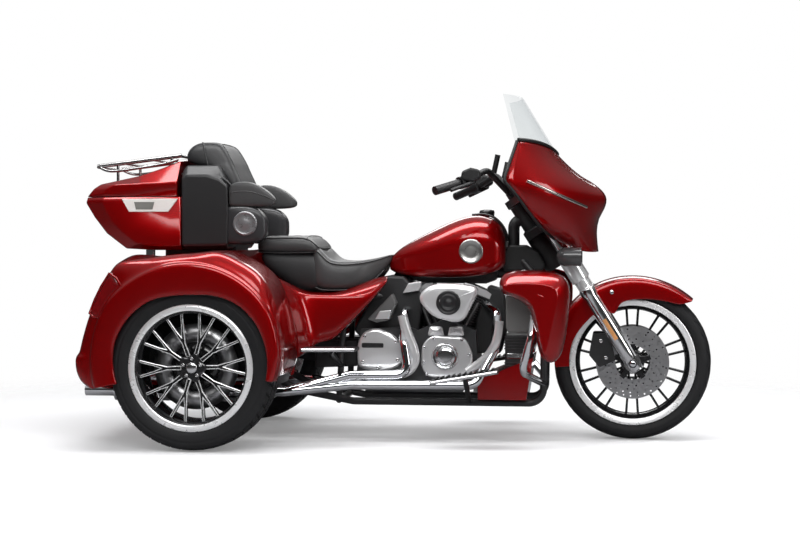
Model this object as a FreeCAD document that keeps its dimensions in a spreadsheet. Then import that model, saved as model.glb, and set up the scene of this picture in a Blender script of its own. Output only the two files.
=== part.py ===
import FreeCAD, Part
import Sketcher
import math
import os
from FreeCAD import Placement, Rotation, Vector

# A touring trike: one steered front wheel, two wheels on a rear axle under a wide body with a trunk.
# The frame of the model: +X forward, +Y to the rider's left, +Z up, the floor at Z = 0,
# and the origin on the floor below the middle of the whole length.
# Stations along X are measured forward from the rear axle, in millimetres.

os.makedirs("parts", exist_ok=True)

SIZES = {
    # wheels and where they stand
    "rear_axle_x": -730, "wheelbase": 1700, "running_gap": 0.3,
    "rear_tyre_radius": 325, "rear_tyre_width": 215, "rear_sidewall": 79,
    "front_tyre_radius": 319.5, "front_tyre_width": 130, "front_sidewall": 61.5,
    "rim_lip": 13, "rim_wall": 9, "bead_share": 0.8, "front_tread_share": 0.52,
    "rear_tread_share": 0.86, "hub_radius": 52, "axle_radius": 12.5, "axle_gap": 0.3,
    "rear_spoke_count": 10, "front_spoke_count": 10,
    "rotor_radius": 148, "rotor_thickness": 5, "rotor_offset": 78,
    # steering head and fork
    "rake": 32, "fork_offset": 60, "fork_leg_spacing": 240, "slider_radius": 30, "stanchion_radius": 24,
    "slider_length": 354, "head_tube_radius": 34, "head_bore_radius": 20, "head_low_z": 862, "head_high_z": 962,
    "clamp_thickness": 30, "clamp_gap": 3,
    # frame
    "rail_radius": 17, "backbone_radius": 24, "backbone_z": 684, "rail_spacing": 300, "rail_z": 156,
    "seat_rail_z": 585, "seat_rail_radius": 14, "seat_rail_spacing": 220,
    # engine
    "crank_x": 945, "crank_z": 325, "cylinder_angle": 22.5, "barrel_start": 160, "barrel_end": 252,
    "head_end": 296, "rocker_end": 324, "barrel_radius": 50, "fin_radius": 61, "fin_count": 9,
    "pushrod_tube_radius": 9, "case_half_width": 140,
    # tank and seats
    "tank_rear_x": 700, "tank_head_gap": 76, "tank_half_width": 172, "tank_top_z": 917, "tunnel_half_width": 36,
    "seat_half_width": 190, "passenger_seat_z": 831, "rider_seat_z": 734,
    "side_cover_gap": 6, "side_cover_depth": 30,
    # rear body
    "body_half_width": 692, "wheel_inset": 32, "well_side_gap": 17, "trunk_side_gap": 83, "body_wall": 12,
    "well_gap": 22, "arch_inset": 21, "arch_drop": 38, "arch_ahead": 8, "arch_depth": 60, "fender_skin": 18,
    "fender_drawn_radius": 325, "flare_reach": 79, "flare_depth": 14, "flare_bevel": 8, "axle_headroom": 63,
    "door_side_wall": 60, "door_low_z": 330, "door_high_z": 690, "door_gap": 3, "door_pin_radius": 4,
    # top case
    "topcase_half_width": 272, "topcase_wall": 8, "topcase_seam_z": 995, "lid_gap": 5, "seam_gap": 3,
    "lid_pin_radius": 3, "housing_rear_x": -145,
    # widths at the front
    "fairing_half_width": 405, "fairing_wall": 5, "screen_thickness": 5, "fender_half_width": 82,
    "fender_wall": 4,
    "lower_inner_y": 300, "lower_outer_y": 455,
    "board_inner_y": 330, "board_outer_y": 455,
    "exhaust_radius": 19, "muffler_radius": 42, "bar_radius": 12.7, "grip_radius": 18,
}

doc = FreeCAD.newDocument("touring_trike")
sheet = doc.addObject("Spreadsheet::Sheet", "Sizes")
for row, (alias, number) in enumerate(SIZES.items(), start=1):
    sheet.set(f"A{row}", alias)
    sheet.set(f"B{row}", str(number))
    sheet.setAlias(f"B{row}", alias)
doc.recompute()


class Size:
    """A number of the model together with the sheet formula that gives it."""

    def __init__(self, value, formula):
        self.value = float(value)
        self.formula = formula

    def __add__(self, other):
        other = as_size(other)
        return Size(self.value + other.value, f"({self.formula} + {other.formula})")

    __radd__ = __add__

    def __sub__(self, other):
        other = as_size(other)
        return Size(self.value - other.value, f"({self.formula} - {other.formula})")

    def __rsub__(self, other):
        return as_size(other) - self

    def __mul__(self, other):
        other = as_size(other)
        return Size(self.value * other.value, f"({self.formula} * {other.formula})")

    __rmul__ = __mul__

    def __truediv__(self, other):
        other = as_size(other)
        return Size(self.value / other.value, f"({self.formula} / {other.formula})")

    def __neg__(self):
        return Size(-self.value, f"(0 - {self.formula})")

    def __float__(self):
        return self.value


def as_size(number):
    if isinstance(number, Size):
        return number
    return Size(number, f"({float(number)!r})")


class Sizes:
    """The sheet's cells by name."""

    def __getattr__(self, alias):
        return Size(sheet.get(alias), f"Sizes.{alias}")


s = Sizes()
sub_parts = []

# What follows from the sizes: the wheels stand inside the body's sides, and the trunk fits between them.
front_rim_radius = s.front_tyre_radius - s.front_sidewall
rear_rim_radius = s.rear_tyre_radius - s.rear_sidewall
rear_wheel_y = s.body_half_width - s.wheel_inset - s.rear_tyre_width / 2
well_inner_y = rear_wheel_y - s.rear_tyre_width / 2 - s.well_side_gap
trunk_half_width = well_inner_y - s.trunk_side_gap
head_middle_z = (s.head_low_z + s.head_high_z) / 2


def head_station():
    """The steering axis halfway up the head tube, forward from the rear axle."""
    rake, height = math.radians(s.rake.value), head_middle_z - s.front_tyre_radius
    value = s.wheelbase.value - s.fork_offset.value / math.cos(rake) - height.value * math.tan(rake)
    lean = f"Sizes.fork_offset / cos(Sizes.rake) - {height.formula} * tan(Sizes.rake)"
    return Size(value, f"(Sizes.wheelbase - {lean})")


head_x = head_station()


def station(distance):
    """A place along X, given forward from the rear axle."""
    return s.rear_axle_x + distance


def finished(item, label):
    """Marks a document object as the sub-part with this name."""
    item.Label = label
    sub_parts.append(item)
    return item


def new_body(name):
    return doc.addObject("PartDesign::Body", name)


def origin_feature(body, role):
    return next(item for item in body.Origin.OriginFeatures if item.Role == role)


def new_sketch(body, name, plane, offset=0):
    """A sketch on one of the body's planes, moved along the plane's normal.
    On XZ_Plane the normal points to the rider's right, which is -Y."""
    sketch = body.newObject("Sketcher::SketchObject", name)
    sketch.AttachmentSupport = [(origin_feature(body, plane), "")]
    sketch.MapMode = "FlatFace"
    sketch.setExpression("AttachmentOffset.Base.z", as_size(offset).formula)
    return sketch


def tie(sketch, kind, geometry, point, size, name):
    """Holds one coordinate of a sketch point at a sheet formula."""
    size = as_size(size)
    index = sketch.addConstraint(Sketcher.Constraint(kind, -1, 1, geometry, point, size.value))
    sketch.renameConstraint(index, name)
    sketch.setExpression(f"Constraints.{name}", size.formula)


def draw_outline(sketch, corners):
    """A closed outline of straight sides through the corners."""
    first = sketch.GeometryCount
    count = len(corners)
    places = [Vector(float(a), float(b), 0) for a, b in corners]
    for index in range(count):
        line = Part.LineSegment(places[index], places[(index + 1) % count])
        sketch.addGeometry(line, False)
    for index in range(count):
        following = first + (index + 1) % count
        sketch.addConstraint(Sketcher.Constraint("Coincident", first + index, 2, following, 1))
    for index, (across, up) in enumerate(corners):
        tie(sketch, "DistanceX", first + index, 1, across, f"x{first + index}")
        tie(sketch, "DistanceY", first + index, 1, up, f"y{first + index}")


def draw_circle(sketch, across, up, radius):
    circle = Part.Circle(Vector(float(across), float(up), 0), Vector(0, 0, 1), float(radius))
    index = sketch.addGeometry(circle, False)
    tie(sketch, "DistanceX", index, 3, across, f"x{index}")
    tie(sketch, "DistanceY", index, 3, up, f"y{index}")
    radius = as_size(radius)
    ring = sketch.addConstraint(Sketcher.Constraint("Radius", index, radius.value))
    sketch.renameConstraint(ring, f"r{index}")
    sketch.setExpression(f"Constraints.r{index}", radius.formula)


def draw_rounded_box(sketch, left, right, low, high, low_radius, high_radius):
    """A box outline with one radius at its two low corners and one at its two high corners."""
    a, b, c, d = float(left), float(right), float(low), float(high)
    p, q = float(low_radius), float(high_radius)
    quarter = math.pi / 2
    up_axis = Vector(0, 0, 1)
    lines = [((a + p, c), (b - p, c)), ((b, c + p), (b, d - q)),
             ((b - q, d), (a + q, d)), ((a, d - q), (a, c + p))]
    for start, end in lines:
        sketch.addGeometry(Part.LineSegment(Vector(*start, 0), Vector(*end, 0)), False)
    arcs = [((b - p, c + p), p, 3), ((b - q, d - q), q, 0), ((a + q, d - q), q, 1), ((a + p, c + p), p, 2)]
    for centre, radius, turn in arcs:
        circle = Part.Circle(Vector(*centre, 0), up_axis, radius)
        sketch.addGeometry(Part.ArcOfCircle(circle, turn * quarter, (turn + 1) * quarter), False)
    for index in range(4):
        sketch.addConstraint(Sketcher.Constraint("Tangent", index, 2, 4 + index, 1))
        sketch.addConstraint(Sketcher.Constraint("Tangent", 4 + index, 2, (index + 1) % 4, 1))
    sketch.addConstraint(Sketcher.Constraint("Horizontal", 0))
    sketch.addConstraint(Sketcher.Constraint("Vertical", 1))
    tie(sketch, "DistanceY", 0, 1, low, "low")
    tie(sketch, "DistanceX", 1, 1, right, "right")
    tie(sketch, "DistanceY", 2, 1, high, "high")
    tie(sketch, "DistanceX", 3, 1, left, "left")
    for name, first, second, radius in (("low_radius", 4, 7, low_radius), ("high_radius", 5, 6, high_radius)):
        radius = as_size(radius)
        ring = sketch.addConstraint(Sketcher.Constraint("Radius", first, radius.value))
        sketch.renameConstraint(ring, name)
        sketch.setExpression(f"Constraints.{name}", radius.formula)
        sketch.addConstraint(Sketcher.Constraint("Equal", first, second))


def add_pad(body, sketch, length, middle=False, back=False):
    pad = body.newObject("PartDesign::Pad", f"{body.Name}_pad")
    pad.Profile = (sketch, [""])
    pad.setExpression("Length", as_size(length).formula)
    pad.Reversed = back
    if middle:
        pad.SideType = "Symmetric"
    body.Tip = pad
    return pad


def add_pocket(body, sketch, length, middle=False, back=False):
    pocket = body.newObject("PartDesign::Pocket", f"{body.Name}_pocket")
    pocket.Profile = (sketch, [""])
    pocket.setExpression("Length", as_size(length).formula)
    pocket.Reversed = back
    if middle:
        pocket.SideType = "Symmetric"
    body.Tip = pocket
    return pocket


def add_ring(body, sketch):
    """Turns a profile drawn across Y about the body's Y axis."""
    ring = body.newObject("PartDesign::Revolution", f"{body.Name}_ring")
    ring.Profile = (sketch, [""])
    ring.ReferenceAxis = (sketch, ["H_Axis"])
    ring.Angle = 360
    body.Tip = ring
    return ring


def add_loft(body, sketches, ruled=False):
    loft = body.newObject("PartDesign::AdditiveLoft", f"{body.Name}_loft")
    loft.Profile = (sketches[0], [""])
    loft.Sections = [(sketch, [""]) for sketch in sketches[1:]]
    loft.Ruled = ruled
    body.Tip = loft
    return loft


def add_polar(body, feature, count):
    pattern = body.newObject("PartDesign::PolarPattern", f"{body.Name}_polar")
    pattern.Originals = [feature]
    pattern.Axis = (origin_feature(body, "Y_Axis"), [""])
    pattern.Angle = 360
    pattern.setExpression("Occurrences", as_size(count).formula)
    body.Tip = pattern
    return pattern


def add_fillet(body, feature, chosen, radius):
    """Rounds the edges of the feature that the chosen test accepts."""
    doc.recompute()
    edges = [f"Edge{number}" for number, edge in enumerate(feature.Shape.Edges, start=1) if chosen(edge)]
    fillet = body.newObject("PartDesign::Fillet", f"{body.Name}_fillet")
    fillet.Base = (feature, edges)
    fillet.setExpression("Radius", as_size(radius).formula)
    body.Tip = fillet
    return fillet


def along_y(edge):
    return abs(edge.tangentAt(edge.FirstParameter).y) > 0.999


def put(item, x, y, z):
    """Places an item by sheet formulas."""
    for letter, size in (("x", x), ("y", y), ("z", z)):
        item.setExpression(f".Placement.Base.{letter}", as_size(size).formula)


def side_plate(name, corners, inner_y, outer_y, radius=0):
    """A plate on the rider's right, cut to a side outline, with rounded corners."""
    body = new_body(name)
    sketch = new_sketch(body, f"{name}_outline", "XZ_Plane", inner_y)
    draw_outline(sketch, [(station(x), z) for x, z in corners])
    pad = add_pad(body, sketch, as_size(outer_y) - inner_y)
    if radius:
        add_fillet(body, pad, along_y, radius)
    return body


def mirrored(source, name):
    """The same piece on the rider's left."""
    copy = doc.addObject("Part::Mirroring", name)
    copy.Source = source
    copy.Normal = (0, 1, 0)
    return copy


def together(items, label):
    """Several solids that make one sub-part."""
    group = doc.addObject("Part::Compound", label)
    group.Links = items
    return finished(group, label)


def pair(source, label):
    return together([source, mirrored(source, f"{label}_left")], label)


def fixed_shape(shape, label):
    feature = doc.addObject("Part::Feature", label)
    feature.Shape = shape
    feature.Placement = Placement()
    return feature


def point(x, y, z):
    """A place given by its station, its Y and its height."""
    return Vector(float(station(x)), float(y), float(z))


def head_point(x, y, z):
    """A place in the front end, given forward from the steering head."""
    return point(head_x + x, y, z)


def tube(points, radius, bend):
    """A round bar along straight runs joined by arcs of the bend radius."""
    edges = []
    start = points[0]
    for before, corner, after in zip(points, points[1:], points[2:]):
        into = (corner - before).normalize()
        out = (after - corner).normalize()
        turn = into.getAngle(out)
        reach = bend * math.tan(turn / 2)
        middle_way = (out - into).normalize()
        centre = corner + middle_way * (bend / math.cos(turn / 2))
        arc_start = corner - into * reach
        arc_end = corner + out * reach
        arc_middle = centre - middle_way * bend
        edges.append(Part.LineSegment(start, arc_start).toShape())
        edges.append(Part.Arc(arc_start, arc_middle, arc_end).toShape())
        start = arc_end
    edges.append(Part.LineSegment(start, points[-1]).toShape())
    path = Part.Wire(edges)
    direction = (points[1] - points[0]).normalize()
    ring = Part.Wire([Part.makeCircle(radius, points[0], direction)])
    return path.makePipeShell([ring], True, True)


def bar(start, end, radius):
    return Part.makeCylinder(radius, (end - start).Length, start, end - start)


def fuse(shapes):
    return shapes[0].fuse(shapes[1:]).removeSplitter()


# Tyres and wheels turn about their own Y axis and are then put on their axles.
def tyre(name, radius, width, rim_radius, tread_share):
    """A ring of rubber that sits on the rim's two lips; the tread's width is a share of the tyre's."""
    body = new_body(name)
    sketch = new_sketch(body, f"{name}_profile", "YZ_Plane")
    seat = rim_radius + s.running_gap
    half = width / 2
    right_side = [(half, seat), (half * tread_share, radius)]
    left_side = [(-across, up) for across, up in reversed(right_side)]
    draw_outline(sketch, right_side + left_side)
    add_ring(body, sketch)
    return finished(body, name)


def rim_barrel(body, rim_radius, width):
    """The rim's channel between its two lips, with the bead seats that the tyre sits on."""
    sketch = new_sketch(body, f"{body.Name}_barrel", "YZ_Plane")
    half = width / 2
    lip = s.rim_lip
    seat = rim_radius - lip
    well = seat - lip
    edge = half * s.bead_share
    outer = [(-edge - lip, rim_radius), (-edge, rim_radius), (-edge, seat), (-edge + 16, seat), (-edge + 30, well),
             (edge - 30, well), (edge - 16, seat), (edge, seat), (edge, rim_radius), (edge + lip, rim_radius)]
    inner = [(edge + lip, seat - s.rim_wall), (edge - 26, well - s.rim_wall), (-edge + 26, well - s.rim_wall),
             (-edge - lip, seat - s.rim_wall)]
    draw_outline(sketch, outer + inner)
    return add_ring(body, sketch)


def wheel_hub(body, radius, half_length, bore_radius):
    sketch = new_sketch(body, f"{body.Name}_hub", "YZ_Plane")
    draw_outline(sketch, [(-half_length, bore_radius), (half_length, bore_radius), (half_length, radius * 0.75),
                          (half_length * 0.7, radius), (-half_length * 0.7, radius), (-half_length, radius * 0.75)])
    return add_ring(body, sketch)


front_axle_x = station(s.wheelbase)
tyre("front_tyre", s.front_tyre_radius, s.front_tyre_width, front_rim_radius, s.front_tread_share)
put(sub_parts[-1], front_axle_x, 0, s.front_tyre_radius)

front_rim = new_body("front_rim")
rim_barrel(front_rim, front_rim_radius, s.front_tyre_width)
wheel_hub(front_rim, s.hub_radius, s.rotor_offset - 8, s.axle_radius + s.axle_gap)
spoke_reach = front_rim_radius - s.rim_lip * 2 - s.rim_wall / 2
spokes = new_sketch(front_rim, "front_rim_spokes", "XZ_Plane")
draw_outline(spokes, [(8, 40), (18, 40), (30, spoke_reach), (20, spoke_reach)])
draw_outline(spokes, [(-8, 40), (-18, 40), (-30, spoke_reach), (-20, spoke_reach)])
front_spokes = add_pad(front_rim, spokes, 16, middle=True)
add_polar(front_rim, front_spokes, s.front_spoke_count)
put(finished(front_rim, "front_rim"), front_axle_x, 0, s.front_tyre_radius)

# Two brake discs bolted to the front hub, each a ring on a five-armed carrier.
rotor = new_body("front_rotor_right")
rotor_sketch = new_sketch(rotor, "rotor_rings", "XZ_Plane", s.rotor_offset - 8 + s.running_gap)
draw_circle(rotor_sketch, 0, 0, s.rotor_radius)
draw_circle(rotor_sketch, 0, 0, 26)
add_pad(rotor, rotor_sketch, s.rotor_thickness)
window = new_sketch(rotor, "rotor_window", "XZ_Plane", s.rotor_offset - 8)
draw_outline(window, [(-22, 55), (22, 55), (50, 100), (-50, 100)])
rotor_window = add_pocket(rotor, window, 30, middle=True)
add_polar(rotor, rotor_window, 5)
put(rotor, front_axle_x, 0, s.front_tyre_radius)
pair(rotor, "front_rotors")

for side, sign in (("right", -1), ("left", 1)):
    wheel_y = rear_wheel_y * sign
    tyre(f"rear_tyre_{side}", s.rear_tyre_radius, s.rear_tyre_width, rear_rim_radius, s.rear_tread_share)
    put(sub_parts[-1], s.rear_axle_x, wheel_y, s.rear_tyre_radius)
    rim = new_body(f"rear_rim_{side}")
    rim_barrel(rim, rear_rim_radius, s.rear_tyre_width)
    face = s.rear_tyre_width * 0.28
    reach = rear_rim_radius - s.rim_lip * 2 - s.rim_wall / 2
    centre = new_sketch(rim, f"rear_rim_{side}_centre", "XZ_Plane", -sign * face - 12)
    draw_circle(centre, 0, 0, 62)
    draw_circle(centre, 0, 0, s.axle_radius + s.axle_gap)
    add_pad(rim, centre, 24)
    fork = new_sketch(rim, f"rear_rim_{side}_spoke", "XZ_Plane", -sign * face - 9)
    draw_outline(fork, [(-7, 50), (7, 50), (8, 125), (30, reach), (18, reach), (0, 140), (-18, reach), (-30, reach),
                        (-8, 125)])
    rear_spoke = add_pad(rim, fork, 18)
    add_polar(rim, rear_spoke, s.rear_spoke_count)
    put(finished(rim, f"rear_rim_{side}"), s.rear_axle_x, wheel_y, s.rear_tyre_radius)


# Steering head, fork and handlebar. Everything here leans back by the rake.
rake = math.radians(float(s.rake))
up_fork = Vector(-math.sin(rake), 0, math.cos(rake))
ahead = Vector(math.cos(rake), 0, math.sin(rake))
axle = Vector(float(front_axle_x), 0, float(s.front_tyre_radius))
steer_foot = axle - ahead * float(s.fork_offset)


def on_steering_axis(height):
    return steer_foot + up_fork * ((height - steer_foot.z) / up_fork.z)


def on_fork(height, y):
    """A point on a fork leg's centre line."""
    place = axle + up_fork * ((height - axle.z) / up_fork.z)
    return Vector(place.x, y, place.z)


half_spacing = float(s.fork_leg_spacing) / 2
head_low = on_steering_axis(float(s.head_low_z))
head_high = on_steering_axis(float(s.head_high_z))
legs = []
for sign in (-1, 1):
    y = sign * half_spacing
    slider_top = up_fork * float(s.slider_length)
    foot = axle + Vector(0, y, 0)
    slider = bar(foot - up_fork * 33, foot + slider_top, float(s.slider_radius))
    stanchion = bar(foot + slider_top * 0.93, on_fork(1010, y), float(s.stanchion_radius))
    boss = Part.makeCylinder(34, 44, axle + Vector(0, y - 22, 0), Vector(0, 1, 0))
    bore = Part.makeCylinder(float(s.axle_radius), 80, axle + Vector(0, y - 40, 0), Vector(0, 1, 0))
    legs.append(fuse([slider, stanchion, boss]).cut(bore))
fork_legs = fixed_shape(Part.makeCompound(legs), "fork_legs")
finished(fork_legs, "fork_legs")

axle_length = half_spacing * 2 + 60
axle_end = Vector(0, axle_length / 2, 0)
front_axle = bar(axle - axle_end, axle + axle_end, float(s.axle_radius))
spacers = []
hub_half = float(s.rotor_offset) - 8 + float(s.rotor_thickness)
for sign in (-1, 1):
    inner = hub_half + 2
    length = half_spacing - 22 - inner
    spacers.append(Part.makeCylinder(18, length, axle + Vector(0, sign * inner, 0), Vector(0, sign, 0)))
front_axle = fuse([front_axle] + spacers).cut(Part.makeCompound(legs))
finished(fixed_shape(front_axle, "front_axle"), "front_axle")


def clamp_plate(bottom, thickness):
    """A fork clamp: a plate across both legs and the steering stem."""
    across = half_spacing + 36
    depth = float(s.fork_offset)
    outline = [(-across, depth - 32), (-across, depth + 32), (across, depth + 32), (across, depth - 32),
               (52, -40), (-52, -40)]
    base = steer_foot + up_fork * bottom
    corners = [base + ahead * reach + Vector(0, y, 0) for y, reach in outline]
    face = Part.Face(Part.makePolygon(corners + corners[:1]))
    return face.extrude(up_fork * thickness)


low_reach = (head_low - steer_foot).Length
high_reach = (head_high - steer_foot).Length
clamp_thickness = float(s.clamp_thickness)
clamp_gap = float(s.clamp_gap)
plates = [clamp_plate(low_reach - clamp_gap - clamp_thickness, clamp_thickness),
          clamp_plate(high_reach + clamp_gap, clamp_thickness)]
stem = bar(steer_foot + up_fork * (low_reach - clamp_gap - 5), steer_foot + up_fork * (high_reach + clamp_gap + 5),
           float(s.head_bore_radius) - float(s.running_gap))
clamps = fuse(plates + [stem])
for sign in (-1, 1):
    clamps = clamps.cut(bar(on_fork(500, sign * half_spacing), on_fork(1100, sign * half_spacing),
                            float(s.stanchion_radius)))
riser_top = steer_foot + up_fork * (high_reach + clamp_gap + clamp_thickness + 28)
for sign in (-1, 1):
    foot = steer_foot + up_fork * (high_reach + clamp_gap + clamp_thickness - 2) + Vector(0, sign * 60, 0)
    clamps = clamps.fuse(bar(foot, riser_top + Vector(0, sign * 60, 0), 17))

# The handlebar rises from its clamps, runs out and sweeps back to the grips.
bar_radius = float(s.bar_radius)
bar_centre = riser_top
half_bar = [bar_centre, bar_centre + Vector(0, -150, 0), head_point(-139, -290, 1098),
            head_point(-217, -352, 1052), head_point(-327, -462, 1012)]
right_bar = tube(half_bar, bar_radius, 38)
left_bar = right_bar.mirror(Vector(0, 0, 0), Vector(0, 1, 0))
handlebar = fuse([right_bar, left_bar])
clamps = clamps.cut(handlebar)
finished(fixed_shape(clamps, "triple_clamps"), "triple_clamps")
finished(fixed_shape(handlebar, "handlebar"), "handlebar")

grip_pieces = []
grip_end, grip_inner = half_bar[-1], half_bar[-2]
outwards = (grip_end - grip_inner).normalize()
grip_pieces.append(bar(grip_end - outwards * 118, grip_end + outwards * 4, float(s.grip_radius)))
housing = bar(grip_end - outwards * 165, grip_end - outwards * 124, 25)
lever = tube([grip_end - outwards * 150 + Vector(30, 0, 8), grip_end - outwards * 130 + Vector(62, 0, 6),
              grip_end - outwards * 10 + Vector(52, 0, -2)], 7, 12)
grip_pieces.append(fuse([housing, lever]))
bar_space = tube(half_bar, bar_radius, 38)
grip_pieces = [piece.cut(bar_space) for piece in grip_pieces]
grip_pieces += [piece.mirror(Vector(0, 0, 0), Vector(0, 1, 0)) for piece in grip_pieces]
finished(fixed_shape(Part.makeCompound(grip_pieces), "hand_controls"), "hand_controls")


# The fork fairing: a thin shell open at the back, made of side sections at several widths.
def fairing_section(y, inset):
    """The side outline of the fairing at a distance from the middle, moved in by the inset."""
    sweep = (abs(y) / float(s.fairing_half_width)) ** 2.2
    front = [(-27, 1190 + 12 * (1 - sweep) - inset),
             (141 - 135 * sweep - inset * 0.6, 1160 - 20 * sweep - inset),
             (286 - 250 * sweep - inset, 1046 + 10 * sweep - inset * 0.3),
             (335 - 320 * sweep - inset, 986 + 30 * sweep),
             (303 - 300 * sweep - inset, 905 + 70 * sweep + inset * 0.3),
             (241 - 255 * sweep - inset * 0.5, 790 + 195 * sweep + inset)]
    tail = [(71 - 90 * sweep, 905 + 105 * sweep + inset)]
    curve = Part.BSplineCurve()
    curve.interpolate([head_point(x, y, z) for x, z in front])
    corners = [front[-1]] + tail + [front[0]]
    if inset:
        (low_x, low_z), (tail_x, tail_z), (top_x, top_z) = corners
        corners = [(low_x, low_z), (low_x - 12, low_z - 30), (tail_x - 50, tail_z - 60), (top_x - 40, top_z),
                   (top_x, top_z)]
    places = [head_point(x, y, z) for x, z in corners]
    sides = [Part.LineSegment(start, end).toShape() for start, end in zip(places, places[1:])]
    return Part.Wire([curve.toShape()] + sides)


width = float(s.fairing_half_width)
wall = float(s.fairing_wall)
width_shares = [-1, -0.86, -0.6, -0.3, 0, 0.3, 0.6, 0.86, 1]
outer = Part.makeLoft([fairing_section(share * width, 0) for share in width_shares], True, False)
inner = Part.makeLoft([fairing_section(share * (width - wall), wall) for share in width_shares], True, False)
inner.translate(Vector(-float(s.running_gap), 0, 0))

# The headlamp sits in the nose, on a bar from the upper clamp.
lamp_centre = head_point(241, 0, 985)
lamp_radius = 84
lamp = Part.makeCylinder(lamp_radius, 96, lamp_centre, Vector(1, 0, 0))
lamp_bar = bar(head_point(11, 0, 1012), lamp_centre + Vector(4, 0, 0), 14)
lamp = fuse([lamp, lamp_bar.cut(clamps)])
lamp_hole = bar(lamp_centre - Vector(20, 0, 0), lamp_centre + Vector(280, 0, 0), lamp_radius + float(s.running_gap))
fairing_shell = outer.cut(inner).cut(lamp_hole)
finished(fixed_shape(fairing_shell, "fairing"), "fairing")
finished(fixed_shape(lamp, "headlamp"), "headlamp")

dash_block = Part.makeBox(46, 2 * width, 140, head_point(-25, -width, 1052))
dash = inner.common(dash_block)
finished(fixed_shape(dash, "dash"), "dash")


def screen_arc(height, middle_x, side_x, half_width):
    middle = head_point(middle_x, 0, height)
    left, right = head_point(side_x, half_width, height), head_point(side_x, -half_width, height)
    return Part.Wire([Part.Arc(right, middle, left).toShape(), Part.LineSegment(left, right).toShape()])


screen_outer = Part.makeLoft([screen_arc(1150, 147, -13, 330), screen_arc(1405, -9, -79, 235)], True, True)
screen_inner = screen_outer.copy()
screen_inner.translate(Vector(-float(s.screen_thickness) * 1.2, 0, 0))
finished(fixed_shape(screen_outer.cut(screen_inner).cut(outer), "windscreen"), "windscreen")

# The turn signals hang on a bar in front of the fork legs.
signal_x, signal_z = 212, 752
signal_bar = bar(head_point(signal_x, -180, signal_z), head_point(signal_x, 180, signal_z), 11)
signal_bar = signal_bar.cut(Part.makeCompound(legs))
pods = []
for sign in (-1, 1):
    shell = Part.makeCylinder(38, 62, head_point(signal_x - 40, sign * 200, signal_z), Vector(1, 0, 0))
    nose = Part.makeSphere(38, head_point(signal_x - 40, sign * 200, signal_z))
    pods.append(shell.fuse(nose))
finished(fixed_shape(fuse([signal_bar] + pods), "signals"), "signals")

# The front fender follows the tyre, with side skirts and a stay to each fork leg.
fender_inner = float(s.front_tyre_radius) + 14
fender_outer = fender_inner + float(s.fender_wall)
half = float(s.fender_half_width)
skirt = fender_outer - 41.5
fender_wall = float(s.fender_wall)
crown = [(half, skirt), (half - 1, fender_outer - 34), (half - 9, fender_outer - 18), (half - 26, fender_outer - 6),
         (half - 50, fender_outer)]
crown_inside = [(y - fender_wall if y > 30 else y, r - fender_wall * 0.9 if r > skirt + 20 else r) for y, r in crown]
half_outline = crown + [(-y, r) for y, r in reversed(crown)]
rim_points = half_outline + [(-y, r) for y, r in crown_inside] + list(reversed(crown_inside))
corners = [axle + Vector(0, y, r) for y, r in rim_points]
fender_face = Part.Face(Part.makePolygon(corners + corners[:1]))
fender_front, fender_rear = 41, 68
fender_face.rotate(axle, Vector(0, 1, 0), fender_front)
front_fender = fender_face.revolve(axle, Vector(0, 1, 0), -fender_front - fender_rear)
stays = []
for sign in (-1, 1):
    stay_centre = axle + up_fork * (fender_inner - 20)
    stay = bar(stay_centre + Vector(0, sign * (half - 3), 0), stay_centre + Vector(0, sign * half_spacing, 0), 14)
    stays.append(stay.cut(Part.makeCompound(legs)))
finished(fixed_shape(fuse([front_fender] + stays), "front_fender"), "front_fender")

caliper_corners = [(-160, 118), (-94, 118), (-68, 10), (-134, -20), (-176, 30)]
caliper_body = side_plate("caliper_right_block",
                          [(s.wheelbase + x, s.front_tyre_radius + z) for x, z in caliper_corners], 58, 100, 10)
slot = new_sketch(caliper_body, "caliper_slot", "XZ_Plane", s.rotor_offset - 14)
draw_circle(slot, front_axle_x, s.front_tyre_radius, s.rotor_radius + 5)
add_pocket(caliper_body, slot, 17, back=True)
caliper_right = doc.addObject("Part::Cut", "caliper_right")
caliper_right.Base = caliper_body
caliper_right.Tool = fork_legs
pair(caliper_right, "brake_calipers")

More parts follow.
